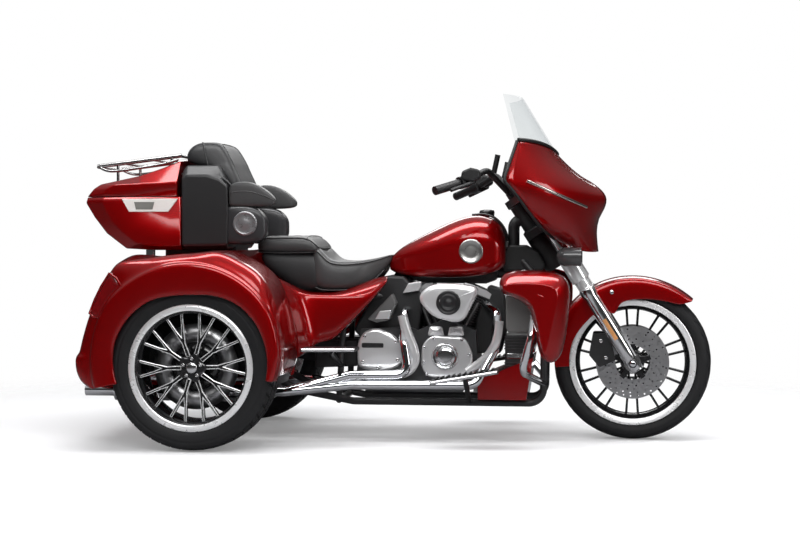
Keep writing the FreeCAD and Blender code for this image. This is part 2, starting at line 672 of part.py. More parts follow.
# The frame: a head tube, a backbone, two down tubes that run back as lower rails, seat rails and rear arms.
rail = float(s.rail_radius)
half_rail = float(s.rail_spacing) / 2
rail_z = float(s.rail_z)
seat_rail_z = float(s.seat_rail_z)
seat_rail = float(s.seat_rail_radius)
half_seat_rail = float(s.seat_rail_spacing) / 2
head_tube = bar(head_low, head_high, float(s.head_tube_radius))
head_bore = bar(head_low - up_fork * 60, head_high + up_fork * 60, float(s.head_bore_radius))
backbone_z = float(s.backbone_z)
hub_height = float(s.rear_tyre_radius)
cover_inner_y = s.seat_half_width + s.side_cover_gap
backbone = tube([head_point(13, 0, 927), head_point(-47, 0, 886), head_point(-47, 0, backbone_z),
                 point(742, 0, backbone_z), point(700, 0, seat_rail_z)], float(s.backbone_radius), 34)
frame_bars = [head_tube, backbone]
for sign in (-1, 1):
    frame_bars.append(tube([head_point(-45, sign * 8, 772), head_point(31, sign * 70, 690),
                            head_point(86, sign * half_rail, 480), head_point(81, sign * half_rail, rail_z),
                            point(560, sign * half_rail, rail_z), point(330, sign * half_rail, 200),
                            point(95, sign * half_rail, hub_height - 7)], rail - 2, 60))
    frame_bars.append(tube([point(702, 0, seat_rail_z), point(690, sign * half_seat_rail, seat_rail_z),
                            point(330, sign * half_seat_rail, seat_rail_z),
                            point(170, sign * half_seat_rail, hub_height + 5)], seat_rail, 40))
    frame_bars.append(tube([point(180, sign * half_seat_rail, hub_height + 13),
                            point(95, sign * half_seat_rail, hub_height + 50.7),
                            point(-60, sign * half_seat_rail, hub_height + 50.7)], 12, 30))
    frame_bars.append(bar(point(520, sign * half_seat_rail, seat_rail_z), point(500, sign * half_rail, rail_z),
                          rail - 4))
    for x in (400, 600):
        frame_bars.append(bar(point(x, sign * half_seat_rail, seat_rail_z),
                              point(x, sign * float(cover_inner_y), seat_rail_z), 8))
frame_bars.append(bar(head_point(83, -half_rail, 240), head_point(83, half_rail, 240), rail - 3))
frame_bars.append(bar(point(500, -half_rail, 160), point(500, half_rail, 160), rail - 3))
frame_bars.append(bar(point(184, -half_rail, hub_height + 25), point(184, half_rail, hub_height + 25), rail - 3))
frame_solid = frame_bars[0]
for frame_bar in frame_bars[1:]:
    frame_solid = frame_solid.fuse(frame_bar)
frame_solid = frame_solid.cut(head_bore)

housing_end = float(rear_wheel_y) - 47
stub_end = float(rear_wheel_y) + 76
axle_housing = bar(point(0, -housing_end, hub_height), point(0, housing_end, hub_height), 38)
final_drive = Part.makeCylinder(58, 120, point(0, -60, hub_height), Vector(0, 1, 0))
drive_cones = [Part.makeCone(58, 38, 50, point(0, sign * 60, hub_height), Vector(0, sign, 0))
               for sign in (-1, 1)]
arms = [bar(point(20, sign * half_rail, hub_height - 3), point(112, sign * half_rail, hub_height - 15), 20)
        for sign in (-1, 1)]
stubs = bar(point(0, -stub_end, hub_height), point(0, stub_end, hub_height), float(s.axle_radius))
rear_axle = fuse([axle_housing, final_drive, stubs] + drive_cones + arms)
rear_axle = rear_axle.cut(frame_solid)
finished(fixed_shape(frame_solid, "frame"), "frame")
finished(fixed_shape(rear_axle, "rear_axle"), "rear_axle")

# The engine: a crankcase with the gearbox behind it and two finned cylinders in a V.
lean = math.radians(float(s.cylinder_angle))
sine, cosine = math.sin(lean), math.cos(lean)


def on_cylinder(along, across, front):
    """A place in the side view, measured up a cylinder and forward across it."""
    sign = 1 if front else -1
    x = s.crank_x + along * (sine * sign) + across * cosine
    z = s.crank_z + along * cosine - across * (sine * sign)
    return station(x), z


engine_block = new_body("engine_block")
case = new_sketch(engine_block, "case_outline", "XZ_Plane")
deck = s.fin_radius + 2
draw_outline(case, [(station(1010), 196), (station(1072), 262), on_cylinder(s.barrel_start, deck, True),
                    on_cylinder(s.barrel_start, -deck, True), on_cylinder(s.barrel_start, deck, False),
                    on_cylinder(s.barrel_start, -deck, False), (station(790), 462), (station(590), 452),
                    (station(572), 270), (station(610), 196)])
add_pad(engine_block, case, s.case_half_width * 2, middle=True)
finished(engine_block, "engine_block")


def barrel(front):
    """A finned barrel and head standing on the crankcase."""
    sign = 1 if front else -1
    foot = point(float(s.crank_x), 0, float(s.crank_z))
    up = Vector(sine * sign, 0, cosine)
    start, end, top = float(s.barrel_start), float(s.barrel_end), float(s.head_end)
    pieces = [Part.makeCylinder(float(s.barrel_radius), end - start, foot + up * start, up)]
    pieces.append(Part.makeCylinder(float(s.fin_radius) - 4, top - end, foot + up * end, up))
    count = int(float(s.fin_count))
    pitch = (end - start) / count
    sides = 16
    for index in range(count + 4):
        level = start + pitch * (index + 0.6)
        reach = float(s.fin_radius) + (9 if index >= count else 0)
        ring = []
        for side in range(sides):
            angle = 2 * math.pi * (side + 0.5) / sides
            across = Vector(cosine, 0, -sine * sign) * (math.cos(angle) * reach)
            ring.append(foot + up * level + across + Vector(0, math.sin(angle) * reach * 1.12, 0))
        pieces.append(Part.Face(Part.makePolygon(ring + ring[:1])).extrude(up * (pitch * 0.42)))
    return fuse(pieces)


cylinders = []
doc.recompute()
for front in (True, False):
    sign = 1 if front else -1
    tubes = []
    for across in (-14, 20):
        top_x, top_z = on_cylinder(262, across * sign + 4, front)
        tube_foot = point(float(s.crank_x) + sign * (26 + across * 0.7), -126, 402)
        tube_top = Vector(float(top_x), -72, float(top_z))
        tubes.append(bar(tube_foot, tube_top, float(s.pushrod_tube_radius)))
    cylinders.append(fuse([barrel(front)] + tubes).cut(engine_block.Shape))
finished(fixed_shape(Part.makeCompound(cylinders), "cylinders"), "cylinders")

for front, side in ((True, "front"), (False, "rear")):
    cover = new_body(f"rocker_cover_{side}")
    outline = new_sketch(cover, f"rocker_{side}_outline", "XZ_Plane")
    draw_outline(outline, [on_cylinder(s.head_end, 62, front), on_cylinder(s.rocker_end - 6, 62, front),
                           on_cylinder(s.rocker_end, 40, front), on_cylinder(s.rocker_end, -40, front),
                           on_cylinder(s.rocker_end - 6, -62, front), on_cylinder(s.head_end, -62, front)])
    add_pad(cover, outline, 150, middle=True)
together([doc.getObject("rocker_cover_front"), doc.getObject("rocker_cover_rear")], "rocker_covers")

gearcase = side_plate("gearcase_cover", [(868, 262), (1022, 262), (1056, 330), (1020, 425), (880, 425), (842, 340)],
                      s.case_half_width, s.case_half_width + 34, 20)
timer = new_sketch(gearcase, "timer_cover", "XZ_Plane", s.case_half_width + 34)
draw_circle(timer, station(942), 345, 44)
add_pad(gearcase, timer, 14)
lifters = new_sketch(gearcase, "lifter_covers", "XZ_Plane", s.case_half_width)
for left in (869, 951):
    draw_outline(lifters, [(station(left), 418), (station(left + 68), 418), (station(left + 60), 466),
                           (station(left + 8), 466)])
add_pad(gearcase, lifters, 26)
finished(gearcase, "gearcase_cover")

gearbox_cover = new_body("gearbox_cover")
oval = new_sketch(gearbox_cover, "gearbox_oval", "XZ_Plane", s.case_half_width)
draw_rounded_box(oval, station(584), station(766), 291, 448, 72, 72)
add_pad(gearbox_cover, oval, 42)
finished(gearbox_cover, "gearbox_cover")

primary_cover = new_body("primary_cover")
long_oval = new_sketch(primary_cover, "primary_oval", "XZ_Plane", -s.case_half_width - 78)
draw_rounded_box(long_oval, station(566), station(1052), 228, 442, 104, 104)
add_pad(primary_cover, long_oval, 78)
finished(primary_cover, "primary_cover")

air_cleaner = side_plate("air_cleaner_cover", [(836, 590), (888, 640), (1092, 628), (1026, 491), (897, 512)],
                         212, 286, 18)
air_neck = bar(point(950, -20, 566), point(950, -212, 566), 25)
air_runner = bar(point(860, -22, 566), point(1030, -22, 566), 18).cut(Part.makeCompound(cylinders))
neck_item = fixed_shape(fuse([air_neck, air_runner]), "air_neck")
air_item = doc.addObject("Part::Fuse", "air_cleaner")
air_item.Base = air_cleaner
air_item.Tool = neck_item
finished(air_item, "air_cleaner")

# The exhaust: a pipe from each head to two pipes along the right side, a link to the left, and two mufflers.
pipe = float(s.exhaust_radius)
muffler_y, muffler_z = float(trunk_half_width) - 45, hub_height - 120
muffler_front = point(240, -muffler_y, muffler_z)
rear_header = tube([point(806, -40, 545), point(770, -150, 520), point(778, -216, 400), point(800, -236, 272),
                    point(560, -250, 270), point(300, 4 - muffler_y, muffler_z), muffler_front], pipe, 46)
front_header = tube([point(1090, -40, 560), point(1150, -120, 520), point(1148, -196, 380), point(1070, -242, 234),
                     point(560, -252, 231), point(300, -muffler_y, muffler_z), muffler_front], pipe, 46)
link = tube([point(520, -252, 226), point(440, -200, 214), point(400, 120, 212),
             point(330, muffler_y - 20, muffler_z), point(240, muffler_y, muffler_z)], pipe, 46)
muffler = Part.makeCylinder(float(s.muffler_radius), 640, muffler_front, Vector(-1, 0, 0))
tip = Part.makeCylinder(25, 126, point(-400, -muffler_y, muffler_z), Vector(-1, 0, 0))
right_muffler = muffler.fuse(tip)
left_muffler = right_muffler.mirror(Vector(0, 0, 0), Vector(0, 1, 0))
exhaust = fuse([rear_header, front_header, link, right_muffler, left_muffler])
exhaust = exhaust.cut(Part.makeCompound(cylinders)).cut(frame_solid)
finished(fixed_shape(exhaust, "exhaust"), "exhaust")

# The fuel tank and the seats are lofted through rounded sections across the machine.
def sections_along(body, rows):
    sketches = []
    for number, (x, half_width, low, high, low_radius, high_radius) in enumerate(rows):
        sketch = new_sketch(body, f"{body.Name}_section_{number}", "YZ_Plane", station(x))
        half_width = as_size(half_width)
        draw_rounded_box(sketch, -half_width, half_width, low, high, low_radius, high_radius)
        sketches.append(sketch)
    return sketches


fuel_tank = new_body("fuel_tank")
top = s.tank_top_z
wide = s.tank_half_width
tank_rear = s.tank_rear_x
tank_length = head_x - s.tank_head_gap - tank_rear
add_loft(fuel_tank, sections_along(fuel_tank, [
    (tank_rear, 52, 696, top - 180, 12, 20), (tank_rear + tank_length * 0.166, wide - 64, 670, top - 112, 28, 58),
    (tank_rear + tank_length * 0.414, wide - 20, 664, top - 50, 38, 90),
    (tank_rear + tank_length * 0.704, wide, 668, top, 42, 105),
    (tank_rear + tank_length * 0.89, wide - 8, 684, top - 14, 42, 100),
    (tank_rear + tank_length, wide - 66, 722, top - 96, 26, 54)]))
tunnel = new_sketch(fuel_tank, "tank_tunnel", "YZ_Plane", station(650))
draw_rounded_box(tunnel, -s.tunnel_half_width, s.tunnel_half_width, 600,
                 s.backbone_z + s.backbone_radius + s.running_gap, 10, 26)
add_pocket(fuel_tank, tunnel, tank_length + 200, back=True)
finished(fuel_tank, "fuel_tank")

seat = new_body("seat")
half_seat = s.seat_half_width
passenger, rider = s.passenger_seat_z, s.rider_seat_z
seat_base = s.seat_rail_z + s.seat_rail_radius + s.running_gap
add_loft(seat, sections_along(seat, [
    (168, half_seat - 26, 745, passenger - 16, 14, 30), (240, half_seat, 700, passenger, 16, 34),
    (384, half_seat, seat_base, passenger, 20, 36), (440, half_seat - 2, seat_base, passenger - 50, 20, 34),
    (480, half_seat - 4, seat_base, rider + 4, 20, 32), (560, half_seat - 12, seat_base, rider, 20, 34),
    (640, half_seat - 80, 656, rider + 12, 16, 24), (696, half_seat - 138, 700, rider + 12, 10, 16)]), ruled=True)
finished(seat, "seat")

side_cover = side_plate("side_cover_right",
                        [(250, 655), (342, 598), (652, 598), (700, 650), (574, 454), (497, 405), (342, 365), (286, 470)],
                        cover_inner_y, cover_inner_y + s.side_cover_depth)
pair(side_cover, "side_covers")


# The rear body: a hollow trunk between two fenders. Side outlines at several widths are joined.
def outline_wire(y, corners):
    places = [point(x, y, z) for x, z in corners]
    return Part.makePolygon(places + places[:1])


def across_loft(rows):
    return Part.makeLoft([outline_wire(y, corners) for y, corners in rows], True, True)


trunk_half = float(trunk_half_width)
body_wall = float(s.body_wall)
trunk_low_z = hub_height + float(s.axle_headroom)
trunk_corners = [(-345, 742, 1, -1), (100, 776, -1, -1), (100, trunk_low_z, -1, 1), (-85, trunk_low_z, -1, 1),
                 (-98, 290, -1, 1),
                 (-478, 252, 1, 1), (-538, 300, 1, 0.6), (-545, 345, 1, 0), (-470, 590, 1, 0)]


def trunk_outline(y, inset):
    curve = 45 * (y / trunk_half) ** 2
    return [(x + (curve if x < -300 else 0) + inset * right, z + inset * up) for x, z, right, up in trunk_corners]


def trunk_loft(half_width, inset):
    rows = [share * half_width for share in (-1, -0.6, 0, 0.6, 1)]
    return across_loft([(y, trunk_outline(y, inset)) for y in rows])


trunk_outer = trunk_loft(trunk_half, 0)
trunk_inner = trunk_loft(trunk_half - body_wall, body_wall)

body_half = float(s.body_half_width)
flare_depth = float(s.flare_depth)
shoulder_y = body_half - 92
fender_corners = [(-300, 736, 55), (104, 776, -25), (166, 752, -24), (212, 720, -22), (266, 668, -20),
                  (313, 600, -18), (342, 530, -16), (360, 464, -14), (368, 404, -12), (362, 345, -12),
                  (330, 330, -12), (-430, 256, 45), (-470, 300, 60), (-475, 352, 60), (-450, 401, 60),
                  (-385, 590, 60)]


def off_tyre(x, z):
    """A corner drawn round the tyre of the drawn radius keeps its distance from another tyre's tread."""
    drawn = float(s.fender_drawn_radius)
    reach = math.hypot(x, z - drawn)
    share = (reach + hub_height - drawn) / reach
    return x * share, hub_height + (z - drawn) * share


def fender_outline(y, inset, drop):
    share = min((y - trunk_half) / (shoulder_y - trunk_half), 1)
    corners = []
    for x, z, pull in fender_corners:
        rear = -42 * (1 - share ** 2) if x < -250 else 0
        corners.append(off_tyre(x + rear + pull * inset, z - (drop if z > 700 else 0)))
    return corners


def fender_loft():
    middle_y, edge_y = (trunk_half + shoulder_y) / 2, shoulder_y + 45
    rows = [(trunk_half, fender_outline(trunk_half, 0, 0)), (middle_y, fender_outline(middle_y, 0, 0)),
            (shoulder_y, fender_outline(shoulder_y, 0, 0)), (edge_y, fender_outline(edge_y, 0.3, 10)),
            (body_half - flare_depth, fender_outline(body_half, 1, 52))]
    return across_loft(rows)


def wheel_flare():
    """The raised band round the wheel arch, with a bevelled outer edge."""
    radius, edge = hub_height + float(s.flare_reach), float(s.flare_bevel)
    inner_y = body_half - 3 * flare_depth
    band = Part.makeCylinder(radius, body_half - edge - inner_y, point(0, inner_y, hub_height), Vector(0, 1, 0))
    bevel = Part.makeCone(radius, radius - edge, edge, point(0, body_half - edge, hub_height), Vector(0, 1, 0))
    limit = across_loft([(y, fender_outline(shoulder_y, 0.4, 6)) for y in (inner_y, body_half)])
    return band.fuse(bevel).common(limit)


def hollowed_fender(solid):
    inner_y = float(well_inner_y)
    arch_depth, arch_x = float(s.arch_depth), float(s.arch_ahead)
    half_length, height = hub_height - float(s.arch_inset), hub_height - float(s.arch_drop)
    start_y = body_half + 10 - arch_depth
    well = Part.makeCylinder(hub_height + float(s.well_gap), body_half - float(s.fender_skin) - inner_y,
                             point(0, inner_y, hub_height), Vector(0, 1, 0))
    arch = Part.makeCylinder(1, arch_depth, Vector(0, 0, 0), Vector(0, 1, 0))
    stretch = FreeCAD.Matrix()
    stretch.scale(half_length, 1, height)
    arch = arch.transformGeometry(stretch)
    arch.translate(point(arch_x, start_y, hub_height))
    below = Part.makeBox(half_length * 2, arch_depth, 200, point(arch_x - half_length, start_y, hub_height - 200))
    return solid.cut([well, arch, below])


fender_form = fender_loft().fuse(wheel_flare())
left_fender = hollowed_fender(fender_form)
right_fender = left_fender.mirror(Vector(0, 0, 0), Vector(0, 1, 0))
space_half = float(well_inner_y) + 1
axle_space = Part.makeBox(190, 2 * space_half, 200, point(-84, -space_half, trunk_low_z - 202))
door_half = trunk_half - float(s.door_side_wall)
door_low, door_high = float(s.door_low_z), float(s.door_high_z)
door_gap = float(s.door_gap)
doorway = Part.makeBox(300, 2 * door_half, door_high - door_low, point(-600, -door_half, door_low))
door_block = Part.makeBox(300, 2 * (door_half - door_gap), door_high - door_low - 2 * door_gap,
                          point(-600, -door_half + door_gap, door_low + door_gap))
trunk_shell = trunk_outer.cut(trunk_inner)
trunk_door = trunk_shell.common(door_block)

# The door turns on two pins below its lower edge, held by lugs on the body.
door_pin_x, door_pin_z, door_pin = -551, 331.5, float(s.door_pin_radius)
lugs, knuckles, reliefs = [], [], []
for sign in (-1, 1):
    sideways = Vector(0, sign, 0)
    reliefs.append(Part.makeCylinder(10, 32, point(door_pin_x, sign * 88, door_pin_z), sideways))
    pin = Part.makeCylinder(door_pin, 56, point(door_pin_x, sign * 62, door_pin_z), sideways)
    lug = Part.makeBox(40, 22, 14, point(door_pin_x - 6, sign * 73 - 11, door_pin_z - 13))
    lugs.append(pin.fuse(lug))
    knuckle = Part.makeCylinder(8, 28, point(door_pin_x, sign * 90, door_pin_z), sideways)
    tab = Part.makeBox(40, 28, 12, point(door_pin_x - 6, sign * 104 - 14, door_pin_z + 3))
    hollow = Part.makeCylinder(door_pin + float(s.running_gap), 200, point(door_pin_x, sign * 20, door_pin_z),
                               sideways)
    knuckles.append(knuckle.fuse(tab).cut([hollow, trunk_inner]))
trunk_door = trunk_door.fuse(knuckles).cut(Part.makeCompound(lugs))
lamp_outline = [off_tyre(x, z) for x, z in ((-420, 540), (-290, 660), (-252, 648), (-352, 540))]
lamp_inner_y = body_half - 132
lamp_corners = [point(x, lamp_inner_y, z) for x, z in lamp_outline]
lamp_block = Part.Face(Part.makePolygon(lamp_corners + lamp_corners[:1])).extrude(Vector(0, 160, 0))
lamp_form = fender_form.copy()
lamp_form.translate(Vector(-4, 5, 0))
left_lamp = lamp_block.common(lamp_form)
lamps = Part.makeCompound([left_lamp, left_lamp.mirror(Vector(0, 0, 0), Vector(0, 1, 0))])
rear_body = trunk_shell.cut(doorway).cut(reliefs).fuse(lugs + [left_fender, right_fender]).cut(trunk_inner)
rear_body = rear_body.cut(axle_space).cut(lamps)
finished(fixed_shape(lamps, "tail_lamps"), "tail_lamps")
finished(fixed_shape(rear_body, "rear_body"), "rear_body")
finished(fixed_shape(trunk_door, "trunk_door"), "trunk_door")

# The top case: a base with a front housing, and a lid hinged along its left side.
case_half = float(s.topcase_half_width)
case_wall = float(s.topcase_wall)
seam = float(s.topcase_seam_z)
base_corners = [(-540, seam, 1, 5), (58, seam, -1, 5), (58, 790, -1, 1), (-353, 790, 0.6, 1), (-532, 962, 1, 0.4)]
lid_rear = float(s.housing_rear_x) - float(s.lid_gap)
lid_corners = [(-540, seam + float(s.seam_gap), 1, -5), (lid_rear, seam + float(s.seam_gap), -1, -5),
               (lid_rear, 1142, -1, -1), (-472, 1048, 0.6, -1)]


def case_outline(corners, y, inset, crown):
    share = abs(y) / case_half
    bend = 38 * share ** 3
    lift = crown * (1 - share ** 2)
    return [(x + (bend if x < -300 else 0) + inset * right, z + (lift if z > 1020 else 0) + inset * up)
            for x, z, right, up in corners]


def case_shell(corners, crown):
    forms = []
    for inset in (0, case_wall):
        rows = [share * (case_half - inset) for share in (-1, -0.85, -0.5, 0, 0.5, 0.85, 1)]
        forms.append(across_loft([(y, case_outline(corners, y, inset, crown)) for y in rows]))
    outside, inside = forms
    return outside.cut(inside)


base_shell = case_shell(base_corners, 0)
housing_rear = float(s.housing_rear_x)
housing = across_loft([(y, [(housing_rear, seam - 3), (housing_rear, 1128), (20, 1128), (56, seam - 3)])
                       for y in (-case_half + 8, case_half - 8)])
foot = Part.makeBox(300, 240, 46, point(-240, -120, 745)).cut(trunk_outer)
hinge_y, hinge_z, lid_pin = case_half + 9, seam + float(s.seam_gap) / 2, float(s.lid_pin_radius)
lid_pin_rod = bar(point(-440, hinge_y, hinge_z), point(-180, hinge_y, hinge_z), lid_pin)
base_lugs, lid_knuckles = [lid_pin_rod], []
for x in (-440, -190):
    base_lugs.append(Part.makeBox(10, 24, 14, point(x, hinge_y - 19, hinge_z - 12)))
for x in (-400, -260):
    knuckle = bar(point(x, hinge_y, hinge_z), point(x + 40, hinge_y, hinge_z), 7)
    tab = Part.makeBox(40, 20, 10, point(x, hinge_y - 18, hinge_z + 4))
    lid_knuckles.append(knuckle.fuse(tab).cut(bar(point(-500, hinge_y, hinge_z), point(-100, hinge_y, hinge_z),
                                                  lid_pin + float(s.running_gap))))
topcase_base = base_shell.fuse([housing, foot] + base_lugs).cut(rear_body)
finished(fixed_shape(topcase_base, "topcase_base"), "topcase_base")
topcase_lid = case_shell(lid_corners, 14).fuse(lid_knuckles).cut(Part.makeCompound(base_lugs))
finished(fixed_shape(topcase_lid, "topcase_lid"), "topcase_lid")

rack_bars = []
for sign in (-1, 1):
    y = sign * 165
    rack_bars.append(bar(point(-515, y, 1122), point(-160, y, 1166), 6))
    rack_bars.append(bar(point(-430, y, 1133), point(-430, y, 1050), 6))
    rack_bars.append(bar(point(-200, y, 1161), point(-200, y, 1110), 6))
rack_bars.append(bar(point(-515, -165, 1122), point(-515, 165, 1122), 6))
rack_bars.append(bar(point(-160, -165, 1166), point(-160, 165, 1166), 6))
for x, z in ((-400, 1136), (-280, 1151)):
    rack_bars.append(bar(point(x, -165, z), point(x, 165, z), 5))
luggage_rack = fuse(rack_bars).cut(across_loft([(y, case_outline(lid_corners, y, 0, 14))
                                                for y in (-case_half, -136, 0, 136, case_half)]))
luggage_rack = luggage_rack.cut(topcase_lid)
finished(fixed_shape(luggage_rack, "luggage_rack"), "luggage_rack")

backrest = new_body("backrest")
pad_outline = new_sketch(backrest, "backrest_outline", "XZ_Plane")
draw_outline(pad_outline, [(station(-136), 1129), (station(-140), 1166), (station(-44), 1230), (station(17), 1210),
                           (station(96), 1050), (station(104), 958), (station(59), 958), (station(59), 992),
                           (station(21), 1129)])
add_pad(backrest, pad_outline, 400, middle=True)
finished(backrest, "backrest")

armrest = side_plate("armrest_right", [(59, 958), (72, 1046), (112, 1047), (254, 982), (228, 955)], 200.3, 262, 12)
pair(armrest, "armrests")
speaker = side_plate("speaker_right", [(58, 815), (58, 954), (196, 952), (216, 900), (196, 815)], 186, 268, 12)
pair(speaker, "speaker_pods")


# What hangs low: engine guard, lower fairings, chin panel and footboards.
guard_right = tube([head_point(83, -half_rail, 590), head_point(59, -330, 590), head_point(41, -405, 440),
                    head_point(3, -385, 300), head_point(83, -half_rail, 236)], 15, 60)
guard = Part.makeCompound([guard_right, guard_right.mirror(Vector(0, 0, 0), Vector(0, 1, 0))]).cut(frame_solid)
finished(fixed_shape(guard, "engine_guard"), "engine_guard")

lower_corners = [(-82, 698), (165, 689), (200, 656), (158, 330), (92, 339), (74, 430), (56, 562), (18, 597),
                 (-84, 624)]


def drawn_in(corners, inset):
    """The outline in front of the steering head, with each corner moved towards its middle."""
    middle_x = sum(x for x, z in corners) / len(corners)
    middle_z = sum(z for x, z in corners) / len(corners)
    moved = []
    for x, z in corners:
        reach = math.hypot(x - middle_x, z - middle_z)
        share = 1 - inset / reach
        moved.append((float(head_x) + middle_x + (x - middle_x) * share, middle_z + (z - middle_z) * share))
    return moved


lower_in, lower_out = float(s.lower_inner_y), float(s.lower_outer_y)
lower_rows = [(lower_in, 14), (lower_in + 20, 2), (lower_out - 55, 0), (lower_out - 20, 9), (lower_out - 4, 24),
              (lower_out, 34)]
left_lower = across_loft([(y, drawn_in(lower_corners, inset)) for y, inset in lower_rows]).cut(guard)
lowers = Part.makeCompound([left_lower, left_lower.mirror(Vector(0, 0, 0), Vector(0, 1, 0))])
finished(fixed_shape(lowers, "lower_fairings"), "lower_fairings")

chin = new_body("chin_panel")
chin_outline = new_sketch(chin, "chin_outline", "XZ_Plane")
rail_top = s.rail_z + s.rail_radius - 2 + s.running_gap
draw_outline(chin_outline, [(station(1076), rail_top), (station(head_x + 13), rail_top), (station(head_x + 41), 343),
                          (station(1076), 250)])
add_pad(chin, chin_outline, 380, middle=True)
finished(chin, "chin_panel")

boards = []
rider_board = side_plate("rider_board", [(908, 252), (1175, 297), (1172, 311), (906, 266)], s.board_inner_y,
                         s.board_outer_y)
board_rear = s.rear_tyre_radius + 71
passenger_board = side_plate("passenger_board", [(board_rear, 378), (612, 380), (612, 392), (board_rear, 390)],
                             s.board_inner_y, s.board_outer_y)
doc.recompute()
rider_arm = tube([point(1040, -half_rail, 158), point(1040, -250, 205), point(1040, -400, 280)], 10, 40)
rider_arm = rider_arm.cut(frame_solid).cut(rider_board.Shape)
passenger_arm = tube([point(508, -128, 300), point(508, -250, 330), point(508, -400, 376)], 9, 40)
passenger_arm = passenger_arm.cut(frame_solid).cut(passenger_board.Shape)
for name, board, arm in (("rider", rider_board, rider_arm), ("passenger", passenger_board, passenger_arm)):
    joined = doc.addObject("Part::Fuse", f"{name}_board_right")
    joined.Base = board
    joined.Tool = fixed_shape(arm, f"{name}_board_arm")
    boards += [joined, mirrored(joined, f"{name}_board_left")]
together(boards, "footboards")

doc.recompute()
for item in doc.Objects:
    if "Invalid" in item.State or "Error" in item.State:
        raise RuntimeError(f"{item.Name} failed: {item.State}")
for item in sub_parts:
    if item.Shape.isNull() or not item.Shape.isValid():
        raise RuntimeError(f"{item.Label} has no valid shape")
for item in sub_parts:
    item.Shape.exportStep(f"parts/{item.Label}.step")
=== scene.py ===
import math

import bmesh
import bpy
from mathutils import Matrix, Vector


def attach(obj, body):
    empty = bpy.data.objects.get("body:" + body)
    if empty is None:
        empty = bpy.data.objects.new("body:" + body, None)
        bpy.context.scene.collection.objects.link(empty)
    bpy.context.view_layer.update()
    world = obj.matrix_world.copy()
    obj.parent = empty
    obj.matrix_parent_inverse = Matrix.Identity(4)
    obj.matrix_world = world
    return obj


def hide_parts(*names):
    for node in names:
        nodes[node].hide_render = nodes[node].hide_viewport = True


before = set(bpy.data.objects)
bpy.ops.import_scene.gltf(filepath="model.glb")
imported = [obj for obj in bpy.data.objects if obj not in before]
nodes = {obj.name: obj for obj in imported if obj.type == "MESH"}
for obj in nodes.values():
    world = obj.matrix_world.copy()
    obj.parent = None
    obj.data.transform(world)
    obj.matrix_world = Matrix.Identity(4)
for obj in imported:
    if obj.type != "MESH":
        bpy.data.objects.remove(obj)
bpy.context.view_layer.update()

# Studio: a pale floor that fades into white, one long soft lamp overhead, a broad soft lamp on the rider's
# right, a weaker one on the far side and weak ones at the ends. The camera stands where the photographer stood.


def stand(name, data):
    """An object that shows the data, linked into the scene."""
    holder = bpy.data.objects.new(name, data)
    bpy.context.scene.collection.objects.link(holder)
    return holder


def feed(tree, target, given):
    """Sets a node's sockets, each to a value or from the output that drives it."""
    for socket, value in given.items():
        if isinstance(value, bpy.types.NodeSocket):
            tree.links.new(value, target.inputs[socket])
        else:
            target.inputs[socket].default_value = value


def node(tree, kind, output=None, given={}, **settings):
    """A new shader node with its settings and sockets; gives back one output, or the node itself."""
    added = tree.nodes.new("ShaderNode" + kind)
    for key, value in settings.items():
        setattr(added, key, value)
    feed(tree, added, given)
    return added.outputs[output] if output else added


def aim(holder, view_line, up):
    """Turns a camera or a lamp to look along a line."""
    holder.rotation_mode = "QUATERNION"
    holder.rotation_quaternion = view_line.to_track_quat("-Z", up)


camera_data = bpy.data.cameras.new("camera")
camera_data.lens = 73.26
camera_data.sensor_width = 36.0
camera = stand("camera", camera_data)
camera.location = (0.838, -6.773, 0.837)
turn_left, tilt_down = math.radians(7.01), math.radians(1.09)
aim(camera, Vector((-math.sin(turn_left) * math.cos(tilt_down), math.cos(turn_left) * math.cos(tilt_down),
    -math.sin(tilt_down))), "Y")
bpy.context.scene.camera = camera
bpy.context.scene.view_settings.view_transform = "Standard"

for name, place, target, width, height, watts in (
        ("overhead_lamp", (0.1, -0.5, 3.2), (0.0, 0.0, 0.6), 0.9, 4.6, 120),
        ("side_lamp", (0.6, -5.2, 3.6), (0.0, 0.0, 0.6), 1.6, 5.0, 150),
        ("front_lamp", (4.4, -2.2, 2.0), (0.4, 0.0, 0.7), 2.4, 1.0, 50),
        ("rear_lamp", (-4.4, -2.4, 2.0), (-0.6, 0.0, 0.7), 2.4, 1.0, 50),
        ("far_lamp", (0.0, 4.5, 3.4), (0.0, 0.0, 0.6), 1.6, 4.0, 90)):
    lamp = bpy.data.lights.new(name, "AREA")
    lamp.shape = "RECTANGLE"
    lamp.size, lamp.size_y, lamp.energy = width, height, watts
    holder = stand(name, lamp)
    holder.location = place
    aim(holder, Vector(target) - Vector(place), "X")
    holder.visible_glossy = name != "rear_lamp"


def straight_view(tree):
    """1 where the camera sees a surface, straight or through glass."""
    rays = node(tree, "LightPath").outputs
    return node(tree, "Math", "Value", {0: rays["Is Camera Ray"], 1: rays["Is Transmission Ray"]}, operation="MAXIMUM")


